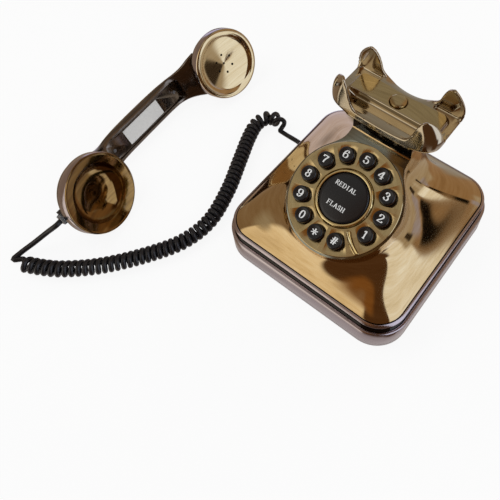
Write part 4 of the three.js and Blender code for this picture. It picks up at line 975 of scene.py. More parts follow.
@dataclass
class SweptBody:
    """The upper housing: groove, lip, bright edge and the concave sweep up to dial and column."""

    plan: RoundedSquare = field(default_factory=RoundedSquare)
    edge_inset: float = 5.4
    edge_height: float = 34.2
    rise: float = 38.0
    rim_pull: float = 0.38
    head_pull: float = 0.42
    tilt: float = 24.5
    facet_y: float = 20.5
    facet_z: float = 95.1
    drum_radius: float = 43.7
    drum_wall: float = 4.5
    drum_from_top: float = 48.6
    neck_half: float = 25.0
    neck_back: float = 48.0
    neck_corner: float = 9.0
    neck_fillet: float = 9.0
    neck_top: float = 113.0
    well_radius: float = 40.6
    well_depth: float = 16.0
    well_over: float = 3.0  # how far the well's tool reaches over the face
    facet_fillet: float = 1.4
    seam_top: float = 28.4  # the seam over the tray, which is painted black as shade
    groove: Point2 = (32.15, 33.5)  # heights of the fine groove's floor and its edge
    steps: int = 44

    @property
    def slope(self) -> float:
        """The dial face's tilt in radians."""
        return math.radians(self.tilt)

    @property
    def up(self) -> Vector:
        """The direction up the dial face."""
        return Vector((0, math.cos(self.slope), math.sin(self.slope)))

    @property
    def normal(self) -> Vector:
        """The dial face's normal."""
        return Vector((0, -math.sin(self.slope), math.cos(self.slope)))

    @property
    def dial_centre(self) -> Vector:
        """The dial's centre on the face."""
        return Vector((0, self.facet_y, self.facet_z)) - self.up * self.drum_from_top

    @property
    def dial_place(self) -> Matrix:
        """The dial's own frame, Z out of its face."""
        return Matrix.Translation(self.dial_centre) @ Matrix.Rotation(self.slope, 4, "X")

    def face_height(self, y: float) -> float:
        """Height of the dial face's plane at a depth."""
        return self.facet_z + (y - self.facet_y) * math.tan(self.slope)

    def head_point(self, angle: float) -> Vector:
        """Where the sweep ends: round the drum, through the fillets and round the column."""
        x, y = abs(math.cos(angle)), math.sin(angle)
        squash = math.cos(self.slope)
        r, centre = self.drum_radius, self.dial_centre
        a = (x / r) ** 2 + (y / (r * squash)) ** 2
        b = y * centre.y / (r * squash) ** 2
        c = (centre.y / (r * squash)) ** 2 - 1
        drum = (b + math.sqrt(b * b - a * c)) / a
        column = self.neck_half
        if y > 1e-9:
            column = soft_min(self.neck_half / max(x, 1e-6), self.neck_back / y, self.neck_corner)
        reach = soft_max(drum, column, self.neck_fillet)
        at = Vector((reach * math.cos(angle), reach * y, 0))
        at.z = self.face_height(min(at.y, self.facet_y))
        return at

    def column(self, angle: float) -> list[Vector]:
        """One column of the sweep, from the bright edge to above the head."""
        out = Vector((math.cos(angle), math.sin(angle), 0))
        start = out * self.plan.reach(angle, self.edge_inset)
        start.z = self.edge_height
        head = self.head_point(angle)
        upright = smoothstep(head.y, 0, self.facet_y - 2)
        wall = self.normal.lerp(Vector((0, 0, 1)), upright).normalized()
        end = head - wall * self.drum_wall
        span = (end - start).length
        rise = math.radians(self.rise)
        leave = -out * math.cos(rise) + Vector((0, 0, math.sin(rise)))
        a = start + leave * self.rim_pull * span
        b = end - Vector((0, 0, 1)) * self.head_pull * span
        made = []
        for i in range(self.steps + 1):
            t = i / self.steps
            u = 1 - t
            made.append(start * u**3 + a * 3 * u * u * t + b * 3 * u * t * t + end * t**3)
        made.append(end + wall * 40)
        return made

    def build(self, finishes: Finishes) -> None:
        """Builds the housing and dresses it."""
        ring = self.plan.ring
        h, e = self.edge_height, self.edge_inset
        low = [
            ring(2.9, 20.4), ring(2.9, 23.1), ring(4.2, 24.0), ring(4.2, 28.3), ring(3.4, 30.3),
            ring(2.45, 31.0), ring(2.2, 31.5), ring(2.3, 32.0), ring(2.7, 32.4),
            ring(e - 1.0, 33.1), ring(e - 0.75, 32.9), ring(e - 0.6, 32.2), ring(e - 0.45, 32.3),
            ring(e - 0.35, 33.6), ring(e - 0.15, 34.1)
        ]
        columns = [self.column(angle) for angle in self.plan.angles()]
        rows = [[column[i] for column in columns] for i in range(self.steps + 2)]
        body = SHOP.skin("swept_body", low + rows)
        self.cut_head(body)
        SHOP.soften(body, 0.45, 2, 42)
        SHOP.smooth(body, 30)
        painted_shade_faces, lip, facet = self.zones(body)
        SHOP.set_down(body)
        dress(body, finishes.body, "base", Slot.BRONZE, "upper_shell")
        # painted shade: near-black on the seam, the fine groove and the neck's front
        stain(body, finishes.toner, painted_shade_faces)
        stain(body, finishes.rim, lip)
        stain(body, finishes.facet, facet)

    def zones(self, body: Piece) -> tuple[list[int], list[int], list[int]]:
        """Faces painted black as shade (seam, fine groove and neck's front), those of the mauve lip
        and those of the dial's facet.
        """
        painted_shade_faces, lip, facet = [], [], []
        low, high = self.groove
        face_way = self.normal
        for i, face in enumerate(body.data.polygons):
            at, way = face.center, face.normal
            outside = at.xy.length > self.plan.reach(math.atan2(at.y, at.x), self.edge_inset - 0.4)
            # painted shade: the seam and the fine groove are painted black where shade falls in
            # them
            if outside and (at.z < self.seam_top or low < at.z < high and self.in_groove(at)):
                painted_shade_faces.append(i)
            elif outside and at.z < high:
                lip.append(i)
            # painted shade: the neck's front, under the cradle's overhang, is painted black
            elif at.z > self.facet_z + 1.2 and way.y < -0.7 and at.y < self.facet_y + 2:
                painted_shade_faces.append(i)
            elif way.dot(face_way) > 0.999 and abs((at - self.dial_centre).dot(face_way)) < 0.3:
                facet.append(i)
        return painted_shade_faces, lip, facet

    def in_groove(self, at: Vector) -> bool:
        """Whether a point is in the fine groove outside the bright edge."""
        angle = math.atan2(at.y, at.x)
        near, far = (self.plan.reach(angle, self.edge_inset - d) for d in (0.4, 0.95))
        return near < at.xy.length < far

    def cut_head(self, body: Piece) -> None:
        """Cuts the dial face, the neck's front, the column's top and the well under the keys."""
        y, z = self.facet_y, self.facet_z
        fillet = self.facet_fillet
        turn = math.pi / 2 - self.slope
        away = fillet * math.tan(turn / 2)
        centre = Vector((0, y, z)) - self.up * away + self.normal * fillet
        outline = [(0.0, -200.0, self.face_height(-200))]
        steps = 6
        for i in range(steps + 1):
            angle = -math.pi / 2 + self.slope + turn * i / steps
            outline.append(
                (0.0, centre.y + fillet * math.cos(angle), centre.z + fillet * math.sin(angle))
            )
        outline += [
            (0.0, y, self.neck_top), (0.0, 200.0, self.neck_top), (0.0, 200.0, 260.0),
            (0.0, -200.0, 260.0)
        ]
        shifted = [(-200.0, b, c) for _, b, c in outline]
        SHOP.combine(body, SHOP.prism("head_tool", shifted, (400, 0, 0)))
        reach = (-self.well_depth, self.well_over)
        SHOP.bore(body, self.well_radius, reach, self.dial_place, 96)


# ------------------------------------------------------------------ the keypad
@dataclass
class Dial:
    """Plate, keys, centre disc, ring and finger stop, in the dial face's own frame."""

    shell: SweptBody = field(default_factory=SweptBody)
    plate_radius: float = 42.3
    plate_bore: float = 22.0
    plate_low: float = 0.3
    plate_top: float = 1.9
    ring_outer: float = 21.7
    ring_inner: float = 19.1
    ring_top: float = 2.9
    disc_radius: float = 18.6
    disc_top: float = 3.6
    disc_crown: float = 0.7
    key_radius: float = 5.9
    key_top: float = 6.5
    key_dish: float = 0.35
    key_hole: float = 6.35
    key_flange: float = 7.1
    key_ring: float = 31.6
    first: float = -26.0
    step: float = 29.0
    stop_angle: float = -48.0
    stop_bend: float = 5.0
    stop_inner: float = 25.4
    stop_outer: float = 41.9
    stop_width: float = 3.4
    stop_top: float = 3.7
    words: tuple[tuple[str, str, Point3], ...] = (
        ("word_redial", "REDIAL", (-2.4, 7.5, 0)), ("word_flash", "FLASH", (-1.5, -7.8, 0))
    )
    word_size: float = 3.5
    sign_size: float = 5.8
    names: tuple[str, ...] = ("1", "2", "3", "4", "5", "6", "7", "8", "9", "0", "star", "hash")

    @property
    def place(self) -> Matrix:
        """The dial's own frame in the telephone's."""
        return self.shell.dial_place

    def key_at(self, i: int) -> Point2:
        """The centre of a key by its number in the ring."""
        angle = math.radians(self.first + i * self.step)
        return (self.key_ring * math.cos(angle), self.key_ring * math.sin(angle))

    def build(self, finishes: Finishes) -> None:
        """Builds the dial's pieces and dresses them."""
        self.build_plate(finishes)
        self.build_ring(finishes)
        self.build_stop(finishes)
        self.build_disc(finishes)
        for i, name in enumerate(self.names):
            self.build_key(finishes, i, name)

    def build_plate(self, finishes: Finishes) -> None:
        """The satin plate with its twelve key holes."""
        r, bore, low, top = self.plate_radius, self.plate_bore, self.plate_low, self.plate_top
        profile = [(bore, low), (r, low), (r, top - 0.35), (r - 0.35, top)]
        profile += [(bore + 0.3, top), (bore, top - 0.3), (bore, low)]
        plate = SHOP.turned("dial_face", profile, 128)
        for i in range(len(self.names)):
            SHOP.bore(plate, self.key_hole, (-1, 5), Matrix.Translation((*self.key_at(i), 0)), 40)
        SHOP.soften(plate, 0.22, 2, 50)
        SHOP.smooth(plate, 30)
        # painted shade: the plate's outer side is painted black as the shade in the gap round the
        # plate
        edge = [
            i for i, face in enumerate(plate.data.polygons)
            if face.center.xy.length > r - 0.12 and abs(face.normal.z) < 0.6
        ]
        SHOP.set_down(plate, self.place)
        dress(plate, finishes.face, "base", Slot.SATIN, "dial_plate")
        stain(plate, finishes.toner, edge)

    def build_ring(self, finishes: Finishes) -> None:
        """The bright ring round the centre disc."""
        o, i, top = self.ring_outer, self.ring_inner, self.ring_top
        profile = [
            (i, 0.3), (o, 0.3), (o, top - 1.5), (o - 0.12, top - 0.9), (o - 0.55, top - 0.3),
            (o - 1.1, top), (i + 0.45, top), (i + 0.1, top - 0.15), (i, top - 0.5), (i, 0.3)
        ]
        ring = SHOP.turned("centre_trim", profile, 128)
        SHOP.smooth(ring, 50)
        SHOP.set_down(ring, self.place)
        dress(ring, finishes.bright, "base", Slot.BRIGHT, "centre_ring")

    def build_stop(self, finishes: Finishes) -> None:
        """The curved finger stop: a bright rim round a sunk middle."""
        steps = 14
        half = self.stop_width / 2

        def side(offset: float) -> list[Point2]:
            """One long side of the stop."""
            made = []
            for i in range(steps + 1):
                share = i / steps
                reach = lerp(self.stop_inner, self.stop_outer, share)
                angle = math.radians(self.stop_angle + self.stop_bend * share * share)
                x = reach * math.cos(angle) - offset * math.sin(angle)
                y = reach * math.sin(angle) + offset * math.cos(angle)
                made.append((x, y))
            return made

        inner = math.radians(self.stop_angle)
        nose = []
        for i in range(1, 8):
            turn = inner + math.pi * 1.5 - math.pi * i / 8
            nose.append(
                (
                    self.stop_inner * math.cos(inner) + half * math.cos(turn),
                    self.stop_inner * math.sin(inner) + half * math.sin(turn)
                )
            )
        outline = side(-half) + list(reversed(side(half))) + list(reversed(nose))
        low = self.plate_top + 0.3
        stop = SHOP.prism("finger_ridge", [(x, y, low) for x, y in outline], (0, 0, 1.0))
        mesh = bmesh.new()
        mesh.from_mesh(stop.data)
        tops = [f for f in mesh.faces if f.calc_center_median().z > low + 0.9]
        for thickness, depth in ((0.25, 0.55), (0.35, 0.15), (0.35, -0.35)):
            bmesh.ops.inset_region(mesh, faces=tops, thickness=thickness, depth=depth)
        mesh.to_mesh(stop.data)
        mesh.free()
        SHOP.smooth(stop, 60)
        SHOP.set_down(stop, self.place)
        dress(stop, finishes.bright, "base", Slot.BRIGHT, "finger_stop")

    def crown(self, x: float, y: float) -> float:
        """Height of the centre disc's crowned top."""
        share = min(math.hypot(x, y) / self.disc_radius, 1.0)
        return self.disc_top - self.disc_crown * share * share

    def build_disc(self, finishes: Finishes) -> None:
        """The centre disc with its two words."""
        r = self.disc_radius
        profile = [(0, -2.4), (r - 0.6, -2.4), (r, -1.8), (r, self.crown(r, 0) - 1.2)]
        profile += [(r - 0.1, self.crown(r, 0) - 0.6), (r - 0.4, self.crown(r, 0) - 0.2)]
        for i in range(12, -1, -1):
            reach = (r - 0.9) * i / 12
            profile.append((reach, self.crown(reach, 0)))
        disc = SHOP.turned("centre_disc", profile, 96)
        SHOP.smooth(disc, 40)
        SHOP.set_down(disc, self.place)
        dress(disc, finishes.key, "rocker", Slot.KEY, "redial_flash_rocker")
        for name, words, at in self.words:
            mark = Lettering().write(name, words, self.word_size)
            mark.data.transform(Matrix.Translation(at))
            for vertex in mark.data.vertices:
                vertex.co.z += self.crown(vertex.co.x, vertex.co.y)
            SHOP.set_down(mark, self.place)
            dress(mark, finishes.print, "rocker", Slot.KEY)

    def build_key(self, finishes: Finishes, i: int, name: str) -> None:
        """One key: a bevelled cap with a faint dish and its white mark."""
        r, top, dish = self.key_radius, self.key_top, self.key_dish
        f = self.key_flange
        profile = [(0, -3.9), (f, -3.9), (f, -2.7), (r, -2.7), (r, top - 1.1)]
        profile += [(r - 0.06, top - 0.75), (r - 0.22, top - 0.4), (r - 0.5, top - 0.12)]
        profile += [(r - 0.85, top), (r - 1.25, top - 0.03)]
        for k in range(5, -1, -1):
            reach = (r - 1.5) * k / 5
            profile.append((reach, top - 0.08 - dish * (1 - (reach / (r - 1.5)) ** 2)))
        cap = SHOP.turned(f"cap_{name}", profile, 40)
        at = self.place @ Matrix.Translation((*self.key_at(i), 0))
        SHOP.smooth(cap, 40)
        SHOP.set_down(cap, at)
        dress(cap, finishes.key, f"key_{name}", Slot.KEY, f"key_{name}")
        sign = {"star": "*", "hash": "#"}.get(name, name)
        mark = Lettering().write(f"mark_{name}", sign, self.sign_size)
        for vertex in mark.data.vertices:
            reach = min(vertex.co.xy.length / (r - 1.5), 1.0)
            vertex.co.z += top - 0.08 - dish * (1 - reach * reach)
        SHOP.set_down(mark, at)
        dress(mark, finishes.print, f"key_{name}", Slot.KEY)


# ------------------------------------------------------------------ the cradle
@dataclass
class Cradle:
    """The saddle on the column: four horns, low ends, a platform, a trough and the hook button."""

    # height, half width, front, back, front corner, back corner
    levels: tuple[tuple[float, ...], ...] = (
        (113.3, 24.4, 21.0, 47.6, 3.0, 3.0), (115.8, 28.5, 12.4, 51.2, 6.0, 3.0),
        (117.6, 34.0, 12.0, 53.0, 9.0, 3.0), (120.0, 41.2, 12.0, 53.9, 10.5, 3.2),
        (122.0, 43.6, 12.1, 54.2, 11.0, 3.4), (128.0, 44.2, 12.5, 54.4, 11.0, 3.4),
        (134.0, 43.2, 12.8, 54.0, 10.5, 3.4), (139.0, 41.0, 13.0, 53.4, 9.5, 3.4),
        (143.4, 38.2, 13.4, 52.6, 8.0, 3.4), (147.2, 34.8, 13.9, 51.8, 6.5, 3.4)
    )
    hollow_from: int = 4  # the level where the inside starts
    end_top: float = 121.5
    hollow_edge: float = 2.6
    wall: float = 2.4
    trough_floor: float = 118.0
    trough_foot: float = 27.4
    trough_half: float = 30.0
    lip_back: float = 14.9
    platform_top: float = 124.0
    platform_front: float = 29.5
    platform_back: float = 47.8
    platform_half: float = 36.5
    platform_corner: float = 6.0
    saddle_half: float = 22.5
    saddle_start: float = 45.0
    saddle_roll: float = 1.5
    front_curve: tuple[Point2, ...] = (
        (0, 121.2), (9, 121.4), (15, 121.9), (20, 123), (23, 126.2), (25.2, 131), (26.8, 136.5),
        (28.4, 141.4), (30.8, 145.4), (33.8, 147), (37, 151)
    )
    back_curve: tuple[Point2, ...] = (
        (0, 117.3), (5, 117.8), (9, 118.8), (12.6, 120.2), (17, 122.8), (21, 125.4), (23.4, 128),
        (25, 133.4), (26.8, 139), (29, 143.4), (31.8, 146), (35, 147.6), (38, 151)
    )
    end_curve: tuple[Point2, ...] = (
        (13.5, 151), (16.5, 147.4), (20.4, 142.4), (22.5, 136), (23.8, 129), (26, 124.4), (30, 122),
        (36, 121.8), (48, 121.8), (50.4, 122.4), (51.5, 124.8), (51.6, 130), (50.4, 139), (49, 147),
        (48.4, 151)
    )
    button_y: float = 37.8
    button_radius: float = 6.0
    button_proud: float = 1.3
    button_bore: float = 6.4
    bore_reach: Point2 = (117.0, 126.0)
    grain: float = 0.55  # of the mesh that its rounded edges are made from
    smoothing: int = 6

    def ring(
        self, half: float, front: float, back: float, near: float, far: float, z: float
    ) -> list[Vector]:
        """A ring of a rounded rectangle with its front (near) and back (far) corner radius."""
        corners = (
            (1, front + near, near, -90), (1, back - far, far, 0), (-1, back - far, far, 90),
            (-1, front + near, near, 180)
        )
        made = []
        for side, y, radius, start in corners:
            for k in range(13):
                angle = math.radians(start + 7.5 * k)
                x = side * (half - radius) + radius * math.cos(angle)
                made.append(Vector((x, y + radius * math.sin(angle), z)))
        return made

    def fine_levels(self, first: int, per: int = 6) -> list[tuple[float, ...]]:
        """The outline's levels from one of them up, with smooth ones between."""
        rows = self.levels[first:]
        made = []
        for i in range(len(rows) - 1):
            p0 = rows[i - 1] if i > 0 else rows[i]
            p1, p2 = rows[i], rows[i + 1]
            p3 = rows[i + 2] if i + 2 < len(rows) else p2
            for k in range(per):
                t = k / per
                made.append(
                    tuple(
                        0.5 * (
                            2 * b + (c - a) * t + (2 * a - 5 * b + 4 * c - d) * t * t
                            + (3 * b - a - 3 * c + d) * t**3
                        )
                        for a, b, c, d in zip(p0, p1, p2, p3)
                    )
                )
        made.append(rows[-1])
        return made

    def whole(self, curve: Sequence[Point2], count: int) -> list[Point2]:
        """A smooth half curve and its mirror image."""
        line = smooth_line(curve, count)
        return [(-a, b) for a, b in reversed(line)] + line[1:]

    def hollow(self) -> Piece:
        """The space inside the horns, down to the low ends."""
        w = self.wall
        rings = [
            self.ring(h - w, f + w, b - w, near - w, far - w, z)
            for z, h, f, b, near, far in self.fine_levels(self.hollow_from)
        ]
        rings.insert(
            0,
            [
                Vector((p.x - math.copysign(self.hollow_edge, p.x), p.y, self.end_top))
                for p in rings[0]
            ]
        )
        rings.append([p + Vector((0, 0, 2)) for p in rings[-1]])
        return SHOP.skin("hollow", rings)

    def trough(self) -> Piece:
        """The trough before the platform, its floor sloping down from the lip."""
        back = self.platform_front + 1
        low = self.ring(self.trough_half, self.trough_foot, back, 1.5, 1, self.trough_floor)
        high = self.ring(self.platform_half, self.lip_back, back, 7, 1, self.end_top + 0.2)
        return SHOP.skin("trough", [low, high])

    def saddle_cutter(self) -> Piece:
        """The space over the low back edge, its floor rolling down from the platform."""
        back = max(level[3] for level in self.levels)
        outline = self.whole(self.back_curve, 48)
        rings = []
        for i in range(13):
            share = 1.12 * (1 - i / 12)
            y = lerp(self.saddle_start, back, share)
            ring = []
            for x, z in outline:
                drop = min(z - self.platform_top, 0.0)
                ring.append(Vector((x, y, z - drop + drop * share**self.saddle_roll)))
            rings.append(ring)
        return SHOP.skin("saddle_cutter", rings)

    def build(self, finishes: Finishes) -> None:
        """Builds the saddle and its button and dresses them."""
        levels = self.fine_levels(0)
        outer = SHOP.skin("saddle", [self.ring(*size, z) for z, *size in levels])
        SHOP.combine(outer, self.hollow())
        SHOP.combine(outer, self.trough())
        middle = (self.platform_front + self.platform_back) / 2
        valley = [(a, 0.0, b) for a, b in self.whole(self.front_curve, 48)]
        SHOP.combine(outer, SHOP.prism("front_valley", valley, (0, middle, 0)))
        valley = [(-60.0, a, b) for a, b in smooth_line(self.end_curve, 84)]
        SHOP.combine(outer, SHOP.prism("end_valley", valley, (120, 0, 0)))
        low, top = self.trough_floor - 1, self.platform_top
        rings = [
            self.ring(
                self.platform_half, self.platform_front, self.platform_back, 1,
                self.platform_corner, z
            )
            for z in (low, top)
        ]
        SHOP.combine(outer, SHOP.skin("platform", rings), "UNION")
        rear = self.levels[5][3] - self.wall / 2
        size = (2 * self.saddle_half, rear - middle, top - low)
        SHOP.combine(
            outer, SHOP.slab("rise", size, (0, (rear + middle) / 2, (top + low) / 2)), "UNION"
        )
        SHOP.combine(outer, self.saddle_cutter())
        button = Matrix.Translation((0, self.button_y, 0))
        SHOP.bore(outer, self.button_bore, self.bore_reach, button, 48)
        SHOP.melt(outer, self.grain, self.smoothing)
        platform = [i for i, face in enumerate(outer.data.polygons) if self.on_platform(face)]
        SHOP.set_down(outer)
        dress(outer, finishes.cradle, "base", Slot.BRONZE, "cradle")
        stain(outer, finishes.face, platform)
        self.build_button(finishes)

    def on_platform(self, face: bpy.types.MeshPolygon) -> bool:
        """Whether a face is on the platform's flat top."""
        at, edge = face.center, 1.2
        return (
            face.normal.z > 0.97 and abs(at.x) < self.platform_half - edge
            and self.platform_front + edge < at.y < self.platform_back - edge
            and abs(at.z - self.platform_top) < 0.3
        )

    def build_button(self, finishes: Finishes) -> None:
        """The round hook button with its stem."""
        r, top = self.button_radius, self.platform_top + self.button_proud
        seat = top - 3.4
        profile = [(0, top - 21.4), (2.2, top - 21.4), (2.2, 109.1), (3.6, 109.1), (3.6, 110.3)]
        profile += [(2.2, 110.3), (2.2, seat), (r, seat), (r, top - 0.8), (r - 0.2, top - 0.25)]
        profile += [(r - 0.7, top), (0, top)]
        button = SHOP.turned("hook_button", profile, 48)
        SHOP.smooth(button, 40)
        SHOP.set_down(button, Matrix.Translation((0, self.button_y, 0)))
        dress(button, finishes.face, "hook", Slot.SATIN_PLASTIC, "hook_plunger")


# ------------------------------------------------------------------ the handset
@dataclass
class Handset:
    """The handset on the table: X along it to the earpiece, Z out of its faces, Y across."""

    at: Point3 = (-178.78, -31.99, 34.0)
    yaw: float = 4.99
    roll: float = 27.04
    centres: float = 167.41
    mouth_radius: float = 33.22
    mouth_tilt: float = 8.78
    bowl: float = 24.3
    bowl_depth: float = 9.6
    mouth_step: float = 3.0
    ear_radius: float = 32.4
    ear_tilt: float = 9.05
    dish: float = 25.5
    dish_depth: float = 4.6
    ear_step: float = 1.8
    skirt: float = 10.0
    cap_wall: float = 2.2
    spigot: float = 5.0
    cup_depth: float = 29.2
    cup_inset: float = 2.0
    wall: float = 2.6
    well: float = 10.0  # how far the hollow of a cup goes below its cap's skirt
    half: float = 13.8
    front: float = -35.2
    back: float = -48.0
    cover_half: float = 9.6
    cover_length: float = 94.0
    recess: float = 0.9
    label: Point3 = (44.0, 15.0, 0.5)
    label_at: float = -2.0
    hole: float = 1.15
    hole_ring: float = 8.7
    hole_reach: Point2 = (-12.0, 2.0)
    window: Point3 = (19.0, 11.6, 10.2)
    window_at: Point3 = (-110.7, 0.0, -16.5)
    seat_depth: float = 2.5
    seat_tall: float = 24.0
    loose_fit: float = 0.6

    @property
    def place(self) -> Matrix:
        """The handset's own frame in the telephone's."""
        yaw, roll = math.radians(self.yaw), math.radians(self.roll)
        along = Vector((-math.sin(yaw), math.cos(yaw), 0))
        side = Vector((math.cos(yaw), math.sin(yaw), 0))
        face = side * math.cos(roll) + Vector((0, 0, math.sin(roll)))
        across = face.cross(along)
        turn = Matrix((along, across, face)).transposed().to_4x4()
        return Matrix.Translation(self.at) @ turn

    @property
    def mouth_place(self) -> Matrix:
        """The mouthpiece's frame in the handset's."""
        turn = Matrix.Rotation(math.radians(self.mouth_tilt), 4, "Y")
        return Matrix.Translation((-self.centres / 2, 0, 0)) @ turn

    @property
    def ear_place(self) -> Matrix:
        """The earpiece's frame in the handset's."""
        turn = Matrix.Rotation(math.radians(-self.ear_tilt), 4, "Y")
        return Matrix.Translation((self.centres / 2, 0, 0)) @ turn

    def stations(self) -> list[tuple[float, float, float, float]]:
        """Half of the handle: place, half width, inner face and back."""
        h, f, b = self.half, self.front, self.back
        return [
            (0, h, f, b), (16, h, f, b + 0.4), (30, h, f, b + 2), (41, h + 0.2, f + 0.8, b + 5.6),
            (49, h + 1, f + 4.6, b + 9.8), (56, h + 3.2, f + 9.6, b + 14.6),
            (63, h + 6.6, f + 14, b + 19), (70, h + 8.6, f + 16.4, b + 22)
        ]

    def section(self, along: float, half: float, front: float, back: float) -> list[Vector]:
        """A handle section: flat inner face, slanted sides and a rounded back."""
        depth = front - back
        quarter = [(0.74, 0), (0.95, -0.14), (1, -0.34), (0.96, -0.62), (0.8, -0.84), (0.5, -0.97)]
        curve = smooth_line([*quarter, (0, -1)], 16)
        side = [(t * half, front + n * depth) for t, n in curve]
        outline = [(-t, n) for t, n in side] + list(reversed(side[:-1]))
        return [Vector((along, t, n)) for t, n in outline]

    def grip(self) -> Piece:
        """The arched handle as a skin of fine sections."""
        half = self.stations()
        rows = [(-s[0], *s[1:]) for s in reversed(half[1:])] + half
        paths = [Path([Vector((s[0], s[k], 0)) for s in rows], 60) for k in (1, 2, 3)]
        count = 72
        fine = []
        for i in range(count + 1):
            share = i / count
            fine.append((paths[0].at(share).x, *(p.at(share).y for p in paths)))
        return SHOP.skin("handset_back", [self.section(*s) for s in fine])

    def cup(self, radius: float) -> list[Point2]:
        """A cup below its cap: its round outside and the hollow under the cap."""
        reach, d = radius - self.cup_inset, self.cup_depth
        bowl = smooth_line(
            [
                (0, -d), (reach * 0.34, -d + 0.5), (reach * 0.6, -d + 3), (reach * 0.8, -d + 7),
                (reach * 0.93, -d + 12), (reach, -self.skirt - 3)
            ],
            20
        )
        seat = radius - self.cap_wall - 0.5
        low = -self.skirt - 0.3
        inner = seat - self.wall
        floor = -self.skirt - self.well
        return bowl + [
            (reach, low), (seat, low), (seat, -self.spigot), (inner, -self.spigot),
            (inner, floor + 4), (inner - 6, floor), (0, floor)
        ]

    def build(self, finishes: Finishes) -> None:
        """Builds the handset's pieces and dresses them."""
        shell = self.grip()
        for name, radius, at in (
            ("mouth_cup", self.mouth_radius, self.mouth_place),
            ("ear_cup", self.ear_radius, self.ear_place)
        ):
            cup = SHOP.turned(name, self.cup(radius), 96)
            cup.data.transform(at)
            SHOP.combine(shell, cup, "UNION")
        seat_low = self.front - self.recess - self.seat_depth
        seat = SHOP.slab(
            "seat",
            (
                self.cover_length + self.loose_fit, 2 * self.cover_half + self.loose_fit,
                self.seat_tall
            ),
            (0, 0, seat_low + self.seat_tall / 2), 3.2
        )
        SHOP.combine(shell, seat)
        SHOP.combine(shell, SHOP.slab("window", self.window, self.window_at, 0.8, "X"))
        SHOP.soften(shell, 0.35, 2, 45)
        SHOP.smooth(shell, 32)
        SHOP.set_down(shell, self.place)
        dress(shell, finishes.grip, "handset", Slot.GUNMETAL, "handset_shell")
        self.build_mouth(finishes)
        self.build_ear(finishes)
        self.build_cover(finishes)

    def skirt_faces(self, cap: Piece, radius: float) -> list[int]:
        """The faces of a cap's outer side, which get the rim's mauve plating rather than the
        front's.
        """
        return [
            i for i, face in enumerate(cap.data.polygons)
            if face.center.xy.length > radius - 0.3 and abs(face.normal.z) < 0.3
        ]

    def build_mouth(self, finishes: Finishes) -> None:
        """The mouthpiece: a bright rim, a sloping ring, a fine step and a deep smooth bowl."""
        r, w, step = self.mouth_radius, self.cap_wall, self.mouth_step
        low = -step - self.bowl_depth
        profile = [
            (0, low - w), (self.bowl * 0.5, low - w + 1),
            (self.bowl * 0.86, -step - self.bowl_depth * 0.5 - w),
            (self.bowl + w * 0.2, -step - w - 0.6), (r - w - 3.4, -self.spigot + 0.3),
            (r - w, -self.spigot + 0.3), (r - w, -self.skirt), (r - 0.5, -self.skirt),
            (r, -self.skirt + 0.8), (r, -1.4), (r - 0.12, -0.7), (r - 0.4, -0.2), (r - 0.9, 0),
            (r - 1.5, -0.12), (r - 1.9, -0.5)
        ]
        ring_in = [(r - 2.4, -0.7), (self.bowl + 0.9, -step + 0.7), (self.bowl + 0.5, -step + 0.6)]
        bowl = smooth_line(
            [
                (self.bowl, -step - 0.1), (self.bowl * 0.93, -step - self.bowl_depth * 0.34),
                (self.bowl * 0.74, -step - self.bowl_depth * 0.72), (self.bowl * 0.42, low + 0.6),
                (0, low)
            ],
            22
        )
        cap = SHOP.turned("mouthpiece", profile + ring_in + bowl, 112)
        SHOP.smooth(cap, 34)
        skirt = self.skirt_faces(cap, r)
        SHOP.set_down(cap, self.place @ self.mouth_place)
        dress(cap, finishes.mouth, "handset", Slot.BRIGHT, "mouth_cap")
        stain(cap, finishes.rim, skirt)

    def build_ear(self, finishes: Finishes) -> None:
        """The earpiece: a bevelled ring round a shallow dish with seven sound holes."""
        r, w, step = self.ear_radius, self.cap_wall, self.ear_step
        low = -step - self.dish_depth
        profile = [
            (0, low - w), (self.dish * 0.5, low - w + self.dish_depth * 0.42),
            (self.dish, -step - w - 0.5), (r - w, -step - w), (r - w, -self.skirt),
            (r - 0.5, -self.skirt), (r, -self.skirt + 0.8), (r, -2.4), (r - 0.15, -1.7),
            (r - 0.6, -0.9), (r - 1.3, -0.35), (r - 2.2, -0.05), (r - 3.0, 0),
            (self.dish + 2.0, -step + 1.2), (self.dish + 0.7, -step + 0.5), (self.dish, -step),
            (self.dish - 0.5, -step - 0.5), (self.dish - 1.2, -step - 0.75)
        ]
        for i in range(11, -1, -1):
            share = i / 12
            profile.append((self.dish * share, low + (self.dish_depth - 0.6) * share**1.15))
        cap = SHOP.turned("earpiece", profile, 112)
        holes = [(0.0, 0.0)]
        for i in range(6):
            angle = math.radians(80 + 60 * i)
            holes.append((self.hole_ring * math.cos(angle), self.hole_ring * math.sin(angle)))
        for x, y in holes:
            SHOP.bore(cap, self.hole, self.hole_reach, Matrix.Translation((x, y, 0)), 16)
        SHOP.smooth(cap, 34)
        skirt = self.skirt_faces(cap, r)
        SHOP.set_down(cap, self.place @ self.ear_place)
        dress(cap, finishes.caps, "handset", Slot.BRIGHT, "ear_cap")
        stain(cap, finishes.rim, skirt)

    def build_cover(self, finishes: Finishes) -> None:
        """The handle's inner cover and the blank card on it."""
        top = self.front - self.recess
        length, width, thick = self.label
        strip = SHOP.slab(
            "grip_cover", (self.cover_length, 2 * self.cover_half, 2.2), (0, 0, top - 1.1), 3
        )
        pocket = SHOP.slab(
            "pocket", (length + self.loose_fit, width + self.loose_fit, 4),
            (self.label_at, 0, top + 1.2), 0.8
        )
        SHOP.combine(strip, pocket)
        SHOP.soften(strip, 0.3, 2, 50)
        SHOP.smooth(strip, 32)
        SHOP.set_down(strip, self.place)
        dress(strip, finishes.grip, "handset", Slot.GUNMETAL, "inner_cover")
        card = SHOP.slab(
            "blank_card", (length, width, thick), (self.label_at, 0, top - thick / 2), 0.8
        )
        SHOP.soften(card, 0.1, 1, 50)
        SHOP.set_down(card, self.place)
        dress(card, finishes.label, "handset", Slot.WHITE, "handset_label")


